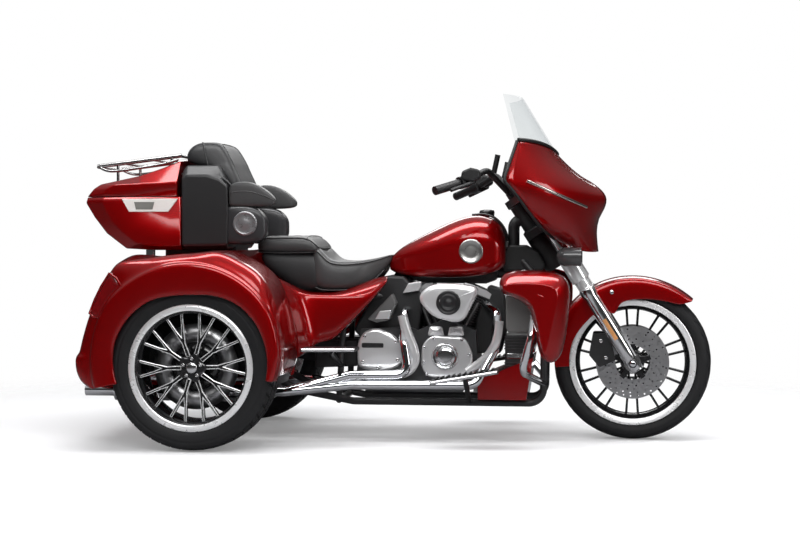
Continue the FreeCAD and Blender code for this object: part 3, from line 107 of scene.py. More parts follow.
world = bpy.data.worlds.new("studio")
bpy.context.scene.world = world
world.use_nodes = True
sky = world.node_tree
height = node(sky, "SeparateXYZ", "Z", {"Vector": node(sky, "TexCoord", "Generated")})
height = node(sky, "MapRange", "Result", {"Value": height, "From Min": -0.25, "From Max": 0.9})
room_tone = node(sky, "ValToRGB", None, {"Fac": height})
stops = room_tone.color_ramp.elements
stops[0].color = (0.1, 0.1, 0.1, 1)
stops[1].color = (0.5, 0.51, 0.53, 1)
for place, tone in ((0.18, 0.05), (0.28, 0.025), (0.52, 0.03), (0.66, 0.2), (0.8, 0.4)):
    stops.new(place).color = (tone, tone, tone, 1)
room_light = sky.nodes["Background"]
feed(sky, room_light, {"Color": room_tone.outputs["Color"], "Strength": 1.0})
backdrop = node(sky, "Background", "Background", {"Color": (1, 1, 1, 1), "Strength": 1.0})
sky_mix = node(sky, "MixShader", "Shader", {"Fac": straight_view(sky), 1: room_light.outputs["Background"], 2: backdrop})
feed(sky, sky.nodes["World Output"], {"Surface": sky_mix})

floor_reach = 14.0
floor_mesh = bpy.data.meshes.new("floor")
floor_mesh.from_pydata([(x * floor_reach, y * floor_reach, 0) for x, y in ((-1, -1), (1, -1), (1, 1), (-1, 1))], [],
    [(0, 1, 2, 3)])
floor = stand("floor", floor_mesh)
floor_finish = bpy.data.materials.new("pale_floor")
floor_finish.use_nodes = True
paper = floor_finish.node_tree
place = node(paper, "TexCoord", "Object")
fibres = node(paper, "TexNoise", "Fac", {"Vector": place, "Scale": 30})
# Painted shade: where the floor is seen in a reflection it shows a dark grey instead of its pale colour, so the
# machine's lower faces reflect a dark ground.
mirrored = node(paper, "LightPath", "Is Glossy Ray")
distance = node(paper, "VectorMath", "Value", {0: place}, operation="LENGTH")
feed(paper, paper.nodes["Principled BSDF"], {
    "Base Color": node(paper, "Mix", "Result", {"Factor": mirrored, "A": (0.73, 0.73, 0.74, 1),
        "B": (0.24, 0.24, 0.25, 1)}, data_type="RGBA"),
    "Roughness": 0.75, "Specular IOR Level": 0.2,
    "Normal": node(paper, "Bump", "Normal", {"Strength": 0.02, "Height": fibres}),
    "Emission Color": (1, 1, 1, 1),
    "Emission Strength": node(paper, "Math", "Value", {0: straight_view(paper), 1: 0.2}, operation="MULTIPLY"),
    "Alpha": node(paper, "MapRange", "Result", {"Value": distance, "From Min": 1.7, "From Max": 3.6, "To Min": 1.0,
        "To Max": 0.0}, interpolation_type="SMOOTHSTEP")})
floor_mesh.materials.append(floor_finish)

# Frame: welded steel tubes, head tube, backbone, down tubes and rear arms, under textured black powder coat.
# The rear axle housing, the engine guard and the footboards hang on it.


def at(x, y, z):
    """A place in metres from millimetres: x forward of the rear axle, y to the rider's left, z above the floor."""
    return Vector(((x - 730) / 1000, y / 1000, z / 1000))


def effect(name, inputs, outputs):
    """A shader node group: inputs by name and first value, outputs by name and kind of socket."""
    tree = bpy.data.node_groups.new(name, "ShaderNodeTree")
    for socket, value in inputs.items():
        kind = "NodeSocketColor" if isinstance(value, tuple) else "NodeSocketFloat"
        tree.interface.new_socket(socket, in_out="INPUT", socket_type=kind).default_value = value
    for socket, kind in outputs.items():
        tree.interface.new_socket(socket, in_out="OUTPUT", socket_type="NodeSocket" + kind)
    return tree, tree.nodes.new("NodeGroupInput").outputs, tree.nodes.new("NodeGroupOutput")


# Handling marks: broad uneven patches that shift colour and roughness a little.
handling, given, made = effect("handling_marks", {"Colour": (0.5, 0.5, 0.5, 1), "Scale": 4.0, "Depth": 0.15,
    "Roughness": 0.4, "Spread": 0.1}, {"Colour": "Color", "Roughness": "Float", "Mask": "Float"})
patches = node(handling, "TexNoise", "Fac", {"Vector": node(handling, "TexCoord", "Object"), "Scale": given["Scale"],
    "Detail": 6, "Roughness": 0.6})
centred = node(handling, "Math", "Value", {0: patches, 1: 0.5}, operation="SUBTRACT")
shift = node(handling, "Math", "Value", {0: centred, 1: given["Depth"], 2: 1.0}, operation="MULTIPLY_ADD")
feed(handling, made, {
    "Colour": node(handling, "VectorMath", "Vector", {0: given["Colour"], "Scale": shift}, operation="SCALE"),
    "Roughness": node(handling, "Math", "Value", {0: centred, 1: given["Spread"], 2: given["Roughness"]},
        operation="MULTIPLY_ADD", use_clamp=True),
    "Mask": patches})

# Fine grain: small pits and pimples, for powder coat, castings, rubber and moulded plastic.
grain, given, made = effect("fine_grain", {"Scale": 600.0, "Pits": 0.5}, {"Height": "Float"})
size = {"Vector": node(grain, "TexCoord", "Object"), "Scale": given["Scale"]}
feed(grain, made, {"Height": node(grain, "Mix", "Result", {
    "Factor": given["Pits"], "A": node(grain, "TexNoise", "Fac", {**size, "Detail": 3}),
    "B": node(grain, "TexVoronoi", "Distance", size)})})


def bumped(material, group, strength, depth, given={}, socket="Normal"):
    """Raises a material's surface by the height that a group puts out."""
    tree = material.node_tree
    height = node(tree, "Group", "Height", given, node_tree=group)
    feed(tree, tree.nodes["Principled BSDF"], {
        socket: node(tree, "Bump", "Normal", {"Strength": strength, "Distance": depth, "Height": height})})


def finish(name, tone, roughness, metal=0.0, depth=0.15, spread=0.1, scale=4.0, coat=0.0, pimples=None, specular=0.5):
    """A painted, cast or moulded finish: its colour and gloss vary a little, and pimples of a given
    fineness and depth are a bump."""
    material = bpy.data.materials.new(name)
    material.use_nodes = True
    tree = material.node_tree
    marks = node(tree, "Group", None, {"Colour": (*tone, 1), "Scale": scale, "Depth": depth, "Roughness": roughness,
        "Spread": spread}, node_tree=handling).outputs
    feed(tree, tree.nodes["Principled BSDF"], {
        "Base Color": marks["Colour"], "Roughness": marks["Roughness"], "Metallic": metal, "Coat Weight": coat,
        "Coat Roughness": 0.04, "Specular IOR Level": specular})
    if pimples:
        bumped(material, grain, 0.6, pimples[1], {"Scale": pimples[0], "Pits": 0.5})
    return material


def dress(material, slot_name, *names):
    """Gives CAD nodes their finish."""
    for name in names:
        nodes[name].data.materials.clear()
        nodes[name].data.materials.append(material)


def soften(thing, width, segments=2, angle=40, smooth_panels=False):
    """Breaks the sharp edges of a form, as a casting or a pressing has them."""
    bevel = thing.modifiers.new("broken_edges", "BEVEL")
    bevel.width = width / 1000
    bevel.segments = segments
    bevel.limit_method = "ANGLE"
    bevel.angle_limit = math.radians(angle)
    if smooth_panels:
        thing.modifiers.new("flat_panels", "WEIGHTED_NORMAL").weight = 100
    return bevel


powder_coat = finish("powder_coat", (0.018, 0.018, 0.019), 0.42, depth=0.3, pimples=(900, 0.0002))
dress(powder_coat, "black_paint", "frame", "rear_axle")

# Engine: an air-cooled V-twin. The crankcase, barrels and heads are cast aluminium under black crackle paint.
# Covers on the right side are chromed and held by small socket screws.
engine_black = finish("engine_black", (0.034, 0.034, 0.036), 0.36, depth=0.35, pimples=(700, 0.00025))
fin_black = finish("fin_black", (0.048, 0.047, 0.048), 0.33, metal=0.3, depth=0.3, pimples=(500, 0.0002))
chrome = finish("chrome", (0.86, 0.87, 0.89), 0.05, metal=1.0, depth=0.05, spread=0.06, scale=9)
cover_chrome = finish("cover_chrome", (0.86, 0.86, 0.87), 0.2, metal=0.6, depth=0.08, spread=0.08, scale=10)
polished = finish("polished_alloy", (0.78, 0.78, 0.79), 0.16, metal=1.0, depth=0.08, spread=0.12, scale=14,
    pimples=(300, 0.00004))
dress(engine_black, "fin_black", "engine_block")
dress(fin_black, "fin_black", "cylinders")
dress(chrome, "chrome", "exhaust")
dress(cover_chrome, "chrome", "rocker_covers", "primary_cover")
soften(nodes["engine_block"], 8, 3)
soften(nodes["rocker_covers"], 7, 3)
soften(nodes["primary_cover"], 14, 4)


def belongs(thing, materials, body, stands_for):
    """Gives a new piece its materials and body, and hides the CAD node it stands for."""
    for one in materials if isinstance(materials, (list, tuple)) else [materials]:
        thing.data.materials.append(one)
    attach(thing, body)
    if stands_for:
        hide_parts(stands_for)
    return thing


def piece(name, points, faces, material, slot_name, body="chassis", stands_for=None, smooth=True):
    """A mesh object in the row frame that rides on one body."""
    mesh = bpy.data.meshes.new(name)
    mesh.from_pydata([tuple(p) for p in points], [], faces)
    mesh.validate()
    shape = bmesh.new()
    shape.from_mesh(mesh)
    bmesh.ops.recalc_face_normals(shape, faces=shape.faces)
    shape.to_mesh(mesh)
    shape.free()
    mesh.polygons.foreach_set("use_smooth", [smooth] * len(mesh.polygons))
    return belongs(stand(name, mesh), material, body, stands_for)


def skin(rings, loop=True, ends=True, around=False):
    """Points and faces between rings of equal count. loop closes each ring, ends fills the first and last,
    and around joins the last ring to the first."""
    count, total = len(rings[0]), len(rings[0]) * len(rings)
    faces = []
    for row in range(0, total if around else total - count, count):
        for c in range(count if loop else count - 1):
            here, beside = row + c, row + (c + 1) % count
            faces.append(tuple(index % total for index in (here, beside, beside + count, here + count)))
    if ends and not around:
        faces += [tuple(range(count))[::-1], tuple(range(total - count, total))]
    return [p for ring in rings for p in ring], faces


def rounded(outline, radius, steps=4):
    """The outline with each corner cut back and rounded by an arc-like curve."""
    line, count = [], len(outline)
    for index in range(count):
        before, corner, after = (Vector(outline[(index + shift) % count]) for shift in (-1, 0, 1))
        reach = min(radius, (before - corner).length / 2.1, (after - corner).length / 2.1)
        start, end = (corner + (other - corner).normalized() * reach for other in (before, after))
        for step in range(steps + 1):
            t = step / steps
            line.append(start * (1 - t) ** 2 + corner * 2 * t * (1 - t) + end * t ** 2)
    return line


def drawn_in(outline, inset):
    """The outline moved inwards, square to its own sides."""
    count, line = len(outline), []
    area = sum(outline[i - 1].x * outline[i].y - outline[i].x * outline[i - 1].y for i in range(count))
    for index in range(count):
        side = outline[(index + 1) % count] - outline[index - 1]
        side = side.normalized() if side.length > 1e-6 else Vector((1, 0))
        line.append(outline[index] + Vector((-side.y, side.x)) * inset * (1 if area > 0 else -1))
    return line


def cover(name, outline, back, face, edge, crown, material, slot_name, stands_for=None):
    """A cast or pressed cover with a rolled edge and a slightly domed face, seen from the side.
    back and face are distances across; a negative one is on the rider's right."""
    outward = 1 if face > back else -1
    rings = [[at(p.x, back, p.y) for p in outline]]
    for step in range(6):
        bend = math.radians(step * 18)
        depth = face - outward * edge * (1 - math.sin(bend))
        rings.append([at(p.x, depth, p.y) for p in drawn_in(outline, edge * (1 - math.cos(bend)))])
    middle = sum(outline, Vector((0, 0))) / len(outline)
    for share in (0.88, 0.7, 0.45, 0.2):
        inner = [(p - middle) * share + middle for p in drawn_in(outline, edge)]
        rings.append([at(p.x, face + outward * crown * (1 - share ** 2), p.y) for p in inner])
    return piece(name, *skin(rings), material, slot_name, stands_for=stands_for)


def circle(radius, count, start=0.0):
    """Points on a circle as pairs; the first lies at an angle given in degrees."""
    angles = [math.radians(start + 360 * k / count) for k in range(count)]
    return [(radius * math.cos(angle), radius * math.sin(angle)) for angle in angles]


def turned(name, centre, profile, material, slot_name, body="chassis", count=48, bands=(), around=False, side=1,
        stands_for=None, forward=False, ends=True):
    """A turned piece from (distance, radius) pairs, about an axis across the machine or forward along it.
    bands gives a material index for each step of the profile."""
    x, y, z = centre
    rings = [[at(x + out, y + a, z + b) if forward else at(x + a, y + side * out, z + b) for a, b in circle(radius, count)]
        for out, radius in profile]
    made_piece = piece(name, *skin(rings, True, ends, around), material, slot_name, body, stands_for)
    for index, band in enumerate(bands):
        for polygon in made_piece.data.polygons[index * count:(index + 1) * count]:
            polygon.material_index = band
    return made_piece


def screws(name, places, radius, height, material, slot_name="chrome", body="chassis", side=-1):
    """Small domed socket screws on a side face."""
    points, faces = [], []
    profile = ((0, 1), (0.6, 1), (1, 0.7), (1, 0.42), (0.4, 0.4))
    for x, y, z in places:
        more_points, more_faces = skin([[at(x + a, y + side * height * rise, z + b) for a, b in circle(radius * share, 12)]
            for rise, share in profile])
        faces += [tuple(index + len(points) for index in face) for face in more_faces]
        points += more_points
    return piece(name, points, faces, material, slot_name, body)


# Air cleaner: a chromed teardrop cover over the V, on a black backplate and intake neck. A black ribbed disc
# fills the middle of the cover.
teardrop = rounded([(836, 588), (888, 641), (980, 646), (1092, 629), (1028, 496), (985, 487), (892, 514)], 34, 5)
cover("air_cleaner_cover", teardrop, -232, -282, 20, 4, cover_chrome, "chrome", "air_cleaner")
cover("air_cleaner_backplate", drawn_in(teardrop, 9), -200, -233, 6, 0, engine_black, "fin_black")
turned("air_cleaner_neck", (950, -120, 566), [(90, 44), (-85, 44), (-112, 60)], engine_black, "fin_black")
disc_black = finish("ribbed_disc_black", (0.016, 0.016, 0.017), 0.3, depth=0.2)
turned("air_cleaner_disc", (965, -284, 568), [(8, 49), (-2, 49), (-5, 46), (-5, 41), (-1.5, 39), (-1.5, 35), (-5, 33),
    (-6, 26), (-2, 24), (-2, 12), (-6, 10), (-6.5, 1)], disc_black, "black_paint")

# Cam cover: a chromed casting with a round polished timer cover, eight screws round its edge and the two lifter
# covers above it.
cam_outline = rounded([(868, 258), (1000, 252), (1052, 300), (1056, 352), (1022, 424), (884, 430), (846, 392), (842, 300)],
    26, 4)
cover("cam_cover", cam_outline, -138, -176, 9, 2, cover_chrome, "chrome", "gearcase_cover")
turned("timer_cover", (943, -176, 345), [(6, 56), (-6, 56), (-12, 51), (-13, 46), (-8, 43), (-8, 39), (-12, 36),
    (-13.5, 20), (-14, 1)], polished, "chrome")
screws("cam_cover_screws", [(x, -176, z) for x, z in ((866, 272), (1036, 300), (1040, 352), (1010, 412), (896, 418),
    (858, 380), (856, 320), (960, 262))], 7, 7, chrome)
for side_name, x in (("rear", 903), ("front", 985)):
    block = rounded([(x - 34, 428), (x + 34, 428), (x + 26, 466), (x - 26, 466)], 8, 3)
    cover(f"lifter_cover_{side_name}", block, -120, -168, 8, 3, cover_chrome, "chrome")

# Gearbox side cover: a chromed casting held by five screws, with a plain dark recess where a badge would be.
box_outline = rounded([(580, 300), (580, 400), (606, 444), (660, 462), (740, 426), (776, 372), (768, 314), (716, 284),
    (626, 282)], 40, 5)
cover("gearbox_side_cover", box_outline, -138, -180, 14, 5, cover_chrome, "chrome", "gearbox_cover")
recess = rounded([(600, 378), (690, 378), (690, 398), (600, 398)], 6, 3)
cover("gearbox_recess", recess, -176, -186, 2, 0, disc_black, "black_paint")
screws("gearbox_screws", [(604, -178, 320), (612, -178, 425), (742, -178, 404), (748, -178, 330), (668, -180, 296)], 8, 8,
    polished)

# Tyres: black road rubber. The rear pair are wide and flat like car tyres, with three grooves round and
# short grooves across; the front is rounder, with slanted grooves. Moulded ribs run round the sidewalls.
rubber = finish("tyre_rubber", (0.011, 0.011, 0.012), 0.6, depth=0.35, spread=0.12, scale=7, pimples=(420, 0.0002),
    specular=0.3)
sides = (("right", -1), ("left", 1))
rear_out, rear_up = 552.5, 325
front_x, front_up = 1700, 319.5


def tyre(name, centre, half_rows, pitches, slant, body, stands_for):
    """A tyre from one half's rows of (across, radius, share of the cross grooves' depth), bead to crown.
    slant turns the grooves back towards the shoulder, in pitches."""
    groove_depth, x, y, z = 5.5, *centre
    columns = [(pitch + place, deep) for pitch in range(pitches)
        for place, deep in ((0, 0), (0.78, 0), (0.82, 1), (0.96, 1))]
    widest = max(across for across, radius, share in half_rows)
    rings = []
    for across, radius, share in [(-a, r, g) for a, r, g in half_rows] + half_rows[::-1]:
        ring = []
        for turn, deep in columns:
            angle = (turn + slant * abs(across) / widest) / pitches * 2 * math.pi
            reach = radius - groove_depth * share * deep
            ring.append(at(x + reach * math.cos(angle), y + across, z + reach * math.sin(angle)))
        rings.append(ring)
    tread = piece(name, *skin(rings, around=True), rubber, "tyre", body, stands_for)
    tread.modifiers.new("crisp_grooves", "EDGE_SPLIT").split_angle = math.radians(38)


rear_half = [(86, 240, 0), (97, 246.5, 0), (103, 258, 0), (106, 270, 0), (107, 280, 0), (107.4, 284, 0), (106.4, 286, 0),
    (106.2, 291, 0), (107, 293, 0), (106, 300, 0), (103, 308, 0), (99.5, 313, 0), (97, 316, 1), (88, 318.5, 1),
    (76, 320.5, 1), (62, 322, 1), (58, 322.4, 0), (57, 315, 0), (49, 315.6, 0), (48, 323.3, 0), (44, 323.6, 0.7),
    (30, 324.3, 0.7), (12, 324.8, 0.7), (6, 325, 0), (5, 317.6, 0)]
for side_name, side in sides:
    tyre(f"rear_tyre_{side_name}_tread", (0, side * rear_out, rear_up), rear_half, 46, 0.9, f"rear_wheel_{side_name}",
        f"rear_tyre_{side_name}")
front_half = [(52, 253, 0), (58, 259, 0), (62, 268, 0), (64.5, 278, 0), (65, 284, 0), (64.2, 286, 0), (64, 290, 0),
    (62.5, 295, 0), (60, 299.5, 0), (57, 303, 1), (50, 308.3, 1), (42, 312.3, 1), (32, 315.8, 1), (24, 317.6, 0.6),
    (14, 318.9, 0), (5, 319.4, 0), (4, 314.5, 0)]
front_centre = (front_x, 0, front_up)
tyre("front_tyre_tread", front_centre, front_half, 30, 2.2, "front_wheel", "front_tyre")

# Rear wheels: cast alloy, black, with a machined lip and bright machined edges on ten forked spokes.
# A steel brake disc is bolted behind them, and a small cap closes the bore.
wheel_black = finish("wheel_black", (0.012, 0.012, 0.013), 0.18, depth=0.2, spread=0.08, coat=0.6)
lathe, given, made = effect("lathe_lines", {"Fineness": 260.0}, {"Height": "Float"})
stretched = node(lathe, "VectorMath", "Vector", {0: node(lathe, "TexCoord", "Object"), 1: (1.0, 6.0, 1.0)},
    operation="MULTIPLY")
feed(lathe, made, {"Height": node(lathe, "TexNoise", "Fac", {"Vector": stretched, "Scale": given["Fineness"]})})
machined = finish("machined_alloy", (0.93, 0.93, 0.935), 0.28, metal=0.5, depth=0.04, spread=0.08, scale=20)
bumped(machined, lathe, 0.15, 0.0002)
cast_and_machined = [wheel_black, machined]
rotor_steel = finish("rotor_steel", (0.52, 0.52, 0.53), 0.34, metal=1.0, depth=0.12, scale=30)


def side_prisms(name, outlines, back, face, material, slot_name, body="chassis", centre=(0, 0, 0), bevel=2.0,
        bright=False):
    """Flat plates cut to outlines in the side view, between two distances across; their edges are broken, and
    bright where machined."""
    points, faces, (x, y, z) = [], [], centre
    for outline in outlines:
        more_points, more_faces = skin([[at(x + a, y + across, z + b) for a, b in outline] for across in (back, face)])
        faces += [tuple(index + len(points) for index in corners) for corners in more_faces]
        points += more_points
    plates = piece(name, points, faces, material, slot_name, body, smooth=False)
    soften(plates, bevel, 2, 50).material = 1 if bright else -1


def turned_about(outline, angle):
    """The outline turned about the origin by an angle in degrees."""
    cosine, sine = math.cos(math.radians(angle)), math.sin(math.radians(angle))
    return [(a * cosine - b * sine, a * sine + b * cosine) for a, b in outline]


rim_profile = [(-99, 246), (-97.5, 240), (-95, 224), (-92, 219), (-86, 215), (-60, 209), (-20, 207), (40, 207), (86, 214),
    (94, 222), (99, 246), (92, 247), (87, 238), (60, 222), (-60, 222), (-87, 238), (-92, 247)]
fork_spoke = [(44, -9), (100, -7.5), (112, -11), (150, -20), (210, -36), (211, -25), (152, -9), (128, 0), (152, 9),
    (211, 25), (210, 36), (150, 20), (112, 11), (100, 7.5), (44, 9)]
hub_lobes = []
for step in range(60):
    angle = 2 * math.pi * step / 60
    reach = 50 + 9 * math.cos(5 * angle)
    hub_lobes.append((reach * math.cos(angle), reach * math.sin(angle)))
for side_name, side in sides:
    body, hub, disc, cap = f"rear_wheel_{side_name}", *((0, side * across, rear_up) for across in (rear_out, 560, 626.5))
    turned(f"rear_rim_{side_name}_barrel", hub, rim_profile, cast_and_machined, "wheel_black", body, 96,
        [1, 1, 1, 0, 0, 0, 0, 0, 0, 1, 1], True, side, f"rear_rim_{side_name}")
    arms = [turned_about(fork_spoke, 2 + 36 * k) for k in range(10)]
    side_prisms(f"rear_spokes_{side_name}", arms, side * 40, side * 66, cast_and_machined, "wheel_black", body, hub, 3.4,
        bright=True)
    side_prisms(f"rear_hub_{side_name}", [hub_lobes], side * -20, side * 74, cast_and_machined, "wheel_black", body, hub, 5)
    turned(f"rear_hub_cap_{side_name}", cap, [(-4, 22), (3, 22), (6, 18), (8, 8), (8.5, 1)], polished, "chrome", body, 32,
        side=side)
    turned(f"rear_disc_{side_name}", disc, [(0, 90), (0, 168), (7, 168), (7, 90)], rotor_steel, "rotor_steel", body, 96,
        around=True)
    turned(f"rear_disc_bell_{side_name}", disc, [(-4, 40), (-4, 96), (9, 96), (9, 40)], wheel_black, "wheel_black", body,
        around=True)
    screws(f"wheel_bolts_{side_name}", [(a, side * 626.5, rear_up + b) for a, b in circle(36, 5, 90)], 7.5, 6, polished,
        "chrome", body, side)

# Front wheel: the same black casting, narrower, with a machined lip and ten pairs of thin straight spokes.
# Its hub is turned and carries a brake disc on each side.
front_profile = [(-64.5, 257), (-63, 250), (-60.5, 238), (-58, 232), (-54, 228), (-40, 218), (-14, 214), (14, 214),
    (40, 218), (54, 228), (58, 232), (60.5, 238), (63, 250), (64.5, 257), (58, 258), (53, 250), (40, 236), (-40, 236),
    (-53, 250), (-58, 258)]
turned("front_rim_barrel", front_centre, front_profile, cast_and_machined, "wheel_black", "front_wheel", 96,
    [1, 1, 1, 0, 0, 0, 0, 0, 0, 0, 1, 1, 1], True, stands_for="front_rim")
thin_spokes = [turned_about([(44, flip * 8), (216, flip * 19), (216, flip * 29), (44, flip * 17)], 90 + 36 * k)
    for k in range(10) for flip in (-1, 1)]
side_prisms("front_spokes", thin_spokes, 9, -9, cast_and_machined, "wheel_black", "front_wheel", front_centre, 2.2)
turned("front_hub", front_centre, [(-69, 14), (-69, 40), (-60, 46), (-30, 50), (30, 50), (60, 46), (69, 40), (69, 14)],
    wheel_black, "wheel_black", "front_wheel", around=True)

# Front brake discs: thin stainless rings with rows of small holes, on black five-armed carriers bolted to the
# hub. They turn with the wheel.


def walled(thing, thick, offset=0):
    """Gives a thin sheet its thickness in millimetres."""
    wall = thing.modifiers.new("wall", "SOLIDIFY")
    wall.thickness, wall.offset = thick / 1000, offset


def drilled_disc(name, centre, inner, outer, thick, rows, stands_for=None):
    """A disc with rows of round holes: an outline mesh filled round its holes, then given its thickness."""
    (x, y, z), edges = centre, []
    mesh, shape = bpy.data.meshes.new(name), bmesh.new()
    outlines = [(0, 0, outer, 96), (0, 0, inner, 60)]
    for radius, hole, count, start in rows:
        outlines += [(a, b, hole, 8) for a, b in circle(radius, count, start)]
    for across, up, radius, count in outlines:
        ring = [shape.verts.new(at(x + across + a, y, z + up + b)) for a, b in circle(radius, count)]
        edges += [shape.edges.new((ring[k], ring[(k + 1) % count])) for k in range(count)]
    bmesh.ops.triangle_fill(shape, use_beauty=True, use_dissolve=False, edges=edges)
    shape.to_mesh(mesh)
    shape.free()
    walled(belongs(stand(name, mesh), rotor_steel, "front_wheel", stands_for), thick)


holes = [(82, 3.4, 20, 0), (96, 3.4, 20, 9.17), (110, 3.6, 25, 0), (124, 3.6, 25, 6.88), (137, 3.6, 30, 2.86)]
for side_name, side in sides:
    hub = (front_x, side * 73, front_up)
    drilled_disc(f"front_disc_{side_name}", hub, 70, 148, 5, holes, "front_rotors" if side < 0 else None)
    arms = [turned_about([(24, -16), (64, -9), (76, -12), (76, 12), (64, 9), (24, 16)], 90 + 72 * k) for k in range(5)]
    side_prisms(f"front_carrier_{side_name}", arms, side * -3, side * 4, wheel_black, "wheel_black", "front_wheel", hub, 1.5)
    turned(f"front_carrier_ring_{side_name}", hub, [(-4, 14), (-4, 33), (5, 33), (5, 14)], rotor_steel, "rotor_steel",
        "front_wheel", 40, around=True)
    screws(f"disc_bolts_{side_name}", [(front_x + a, side * 78, front_up + b) for a, b in circle(27, 5, 54)], 4.5, 3.5, chrome,
        "chrome", "front_wheel", side)

# Fork: black clamps and calipers with bright bolts, polished alloy sliders, and chromed covers and ribbed boots
# above them. A nut closes the axle and an amber reflector is glued to each slider.
caliper_black = finish("caliper_black", (0.02, 0.02, 0.021), 0.3, depth=0.2, coat=0.3, pimples=(500, 0.0001))
dress(caliper_black, "black_paint", "brake_calipers", "triple_clamps")
dress(polished, "silver", "fork_legs", "front_axle")
soften(nodes["brake_calipers"], 4, 3)
soften(nodes["triple_clamps"], 3)
rake = math.radians(32)
up_fork, ahead_fork = Vector((-math.sin(rake), 0, math.cos(rake))), Vector((math.cos(rake), 0, math.sin(rake)))


def on_fork(up, ahead, across):
    """A place by the distances up the fork from the front axle, square ahead of it and across the machine."""
    return at(front_x, across, front_up) + (up_fork * up + ahead_fork * ahead) / 1000


amber = finish("amber_reflector", (0.55, 0.26, 0.10), 0.14, depth=0.2, scale=40, coat=0.6)
for side_name, side in sides:
    for name, material, profile in (
            ("slider", polished, [(-36, 14), (-36, 24), (-30, 30.4), (60, 30.4), (66, 31.6), (250, 31.6), (318, 30.6),
                (326, 34), (350, 34), (355, 33), (356, 25)]),
            ("fork_cover", cover_chrome, [(395, 25), (395, 36), (398, 37.5), (520, 37.5), (523, 36), (523, 25)]),
            ("fork_boot", cover_chrome, [(353, 25), (353, 30), (359, 31), (363, 27.5), (366, 31), (370, 27.5), (374, 31),
                (378, 27.5), (382, 31), (386, 27.5), (390, 31), (396, 30)])):
        rings = [[on_fork(up, a, side * 120 + b) for a, b in circle(radius, 40)] for up, radius in profile]
        piece(f"{name}_{side_name}", *skin(rings), material, "silver", "steering")
    side_prisms(f"axle_nut_{side_name}", [circle(19, 6)], 0, side * 12, caliper_black, "black_paint", "steering",
        (front_x, side * 142, front_up))
    turned(f"axle_end_{side_name}", (front_x, side * 150, front_up), [(0, 12), (8, 12), (10, 9), (10, 1)], chrome, "chrome",
        "steering", 24, side=side)
    rings = [[on_fork(up, ahead - 4, side * (150.5 + lift)) for up, ahead in (
        (118 + cut, cut - 8), (118 + cut, 8 - cut), (213 - cut, 8 - cut), (213 - cut, cut - 8))]
        for lift, cut in ((0, 0), (4.5, 0), (6, 3))]
    piece(f"reflector_{side_name}", *skin(rings), amber, "lamp_lens", "steering", smooth=False)
    screws(f"caliper_bolt_{side_name}", [(1572, side * 100, 408), (1592, side * 100, 340)], 9, 8, polished, "chrome",
        "steering", side)

# Fenders: a moulded fibreglass shell in candy red with a raised flare round each wheel, bolted to the frame over
# the axle. The paint has fine flake under clear lacquer and darkens where it is seen edge on.
candy, given, made = effect("candy_flake", {"Colour": (0.3, 0.003, 0.008, 1), "Scale": 1500.0},
    {"Colour": "Color", "Height": "Float"})
place = node(candy, "TexCoord", "Object")
flakes = node(candy, "TexVoronoi", "Color", {"Vector": place, "Scale": given["Scale"]})
sparkle = node(candy, "MapRange", "Result", {"Value": node(candy, "SeparateColor", "Red", {"Color": flakes}),
    "To Min": 0.82, "To Max": 1.2})
drift = node(candy, "MapRange", "Result", {"Value": node(candy, "TexNoise", "Fac", {"Vector": place, "Scale": 2.5}),
    "To Min": 0.9, "To Max": 1.1})
both = node(candy, "Math", "Value", {0: sparkle, 1: drift}, operation="MULTIPLY")
feed(candy, made, {
    "Colour": node(candy, "VectorMath", "Vector", {0: given["Colour"], "Scale": both}, operation="SCALE"),
    "Height": node(candy, "TexNoise", "Fac", {"Vector": place, "Scale": 120, "Detail": 1})})
candy_red = bpy.data.materials.new("candy_red")
candy_red.use_nodes = True
tree = candy_red.node_tree
red = node(tree, "Group", "Colour", {"Colour": (0.27, 0.0006, 0.0014, 1), "Scale": 1500}, node_tree=candy)
edge_on = node(tree, "LayerWeight", "Facing", {"Blend": 0.35})
darker = node(tree, "MapRange", "Result", {"Value": edge_on, "To Min": 1.0, "To Max": 0.45})
feed(tree, tree.nodes["Principled BSDF"], {
    "Base Color": node(tree, "VectorMath", "Vector", {0: red, "Scale": darker}, operation="SCALE"), "Metallic": 0.6,
    "Specular IOR Level": 0.0, "Roughness": 0.34, "Coat Weight": 1.0, "Coat Roughness": 0.09})
bumped(candy_red, candy, 0.12, 0.0003, socket="Coat Normal")


def fuller(thing, level=2):
    """Subdivides a form until it is smooth."""
    finer = thing.modifiers.new("full_form", "SUBSURF")
    finer.levels = finer.render_levels = level
    return thing


def sheet_of(name, rows, material, slot_name="red_paint", body="chassis", stands_for=None, mirror=None, thick=0, level=2,
        creases=(), loop=False, cap=False):
    """A smooth skin through rows of points, subdivided, then given a thickness. mirror adds the left side,
    joined or apart. creases names rows whose line stays sharp, each with its sharpness."""
    count = len(rows[0])
    points, faces = skin(rows, loop, ends=False)
    if cap:
        faces.append(tuple(range(len(points) - count, len(points))))
    sheet = piece(name, points, faces, material, slot_name, body, stands_for)
    shape = bmesh.new()
    shape.from_mesh(sheet.data)
    shape.verts.ensure_lookup_table()
    layer = shape.edges.layers.float.new("crease_edge")
    for row, sharp in creases:
        for c in range(count):
            edge = shape.edges.get([shape.verts[row * count + k % count] for k in (c, c + 1)])
            if edge:
                edge[layer] = sharp
    shape.to_mesh(sheet.data)
    shape.free()
    if mirror == "joined":
        other = sheet.modifiers.new("left_half", "MIRROR")
        other.use_axis = (False, True, False)
        other.merge_threshold = 0.0005
    fuller(sheet, level)
    if thick:
        walled(sheet, thick)
    if mirror == "apart":
        other = sheet.modifiers.new("left_side", "MIRROR")
        other.use_axis = (False, True, False)
        other.use_mirror_merge = False
    return sheet


def along(table, place):
    """A value between the stops of a table of (place, value)."""
    for (a0, v0), (a1, v1) in zip(table, table[1:]):
        if place <= a1:
            return v0 + (v1 - v0) * max(0.0, (place - a0) / (a1 - a0))
    return table[-1][1]


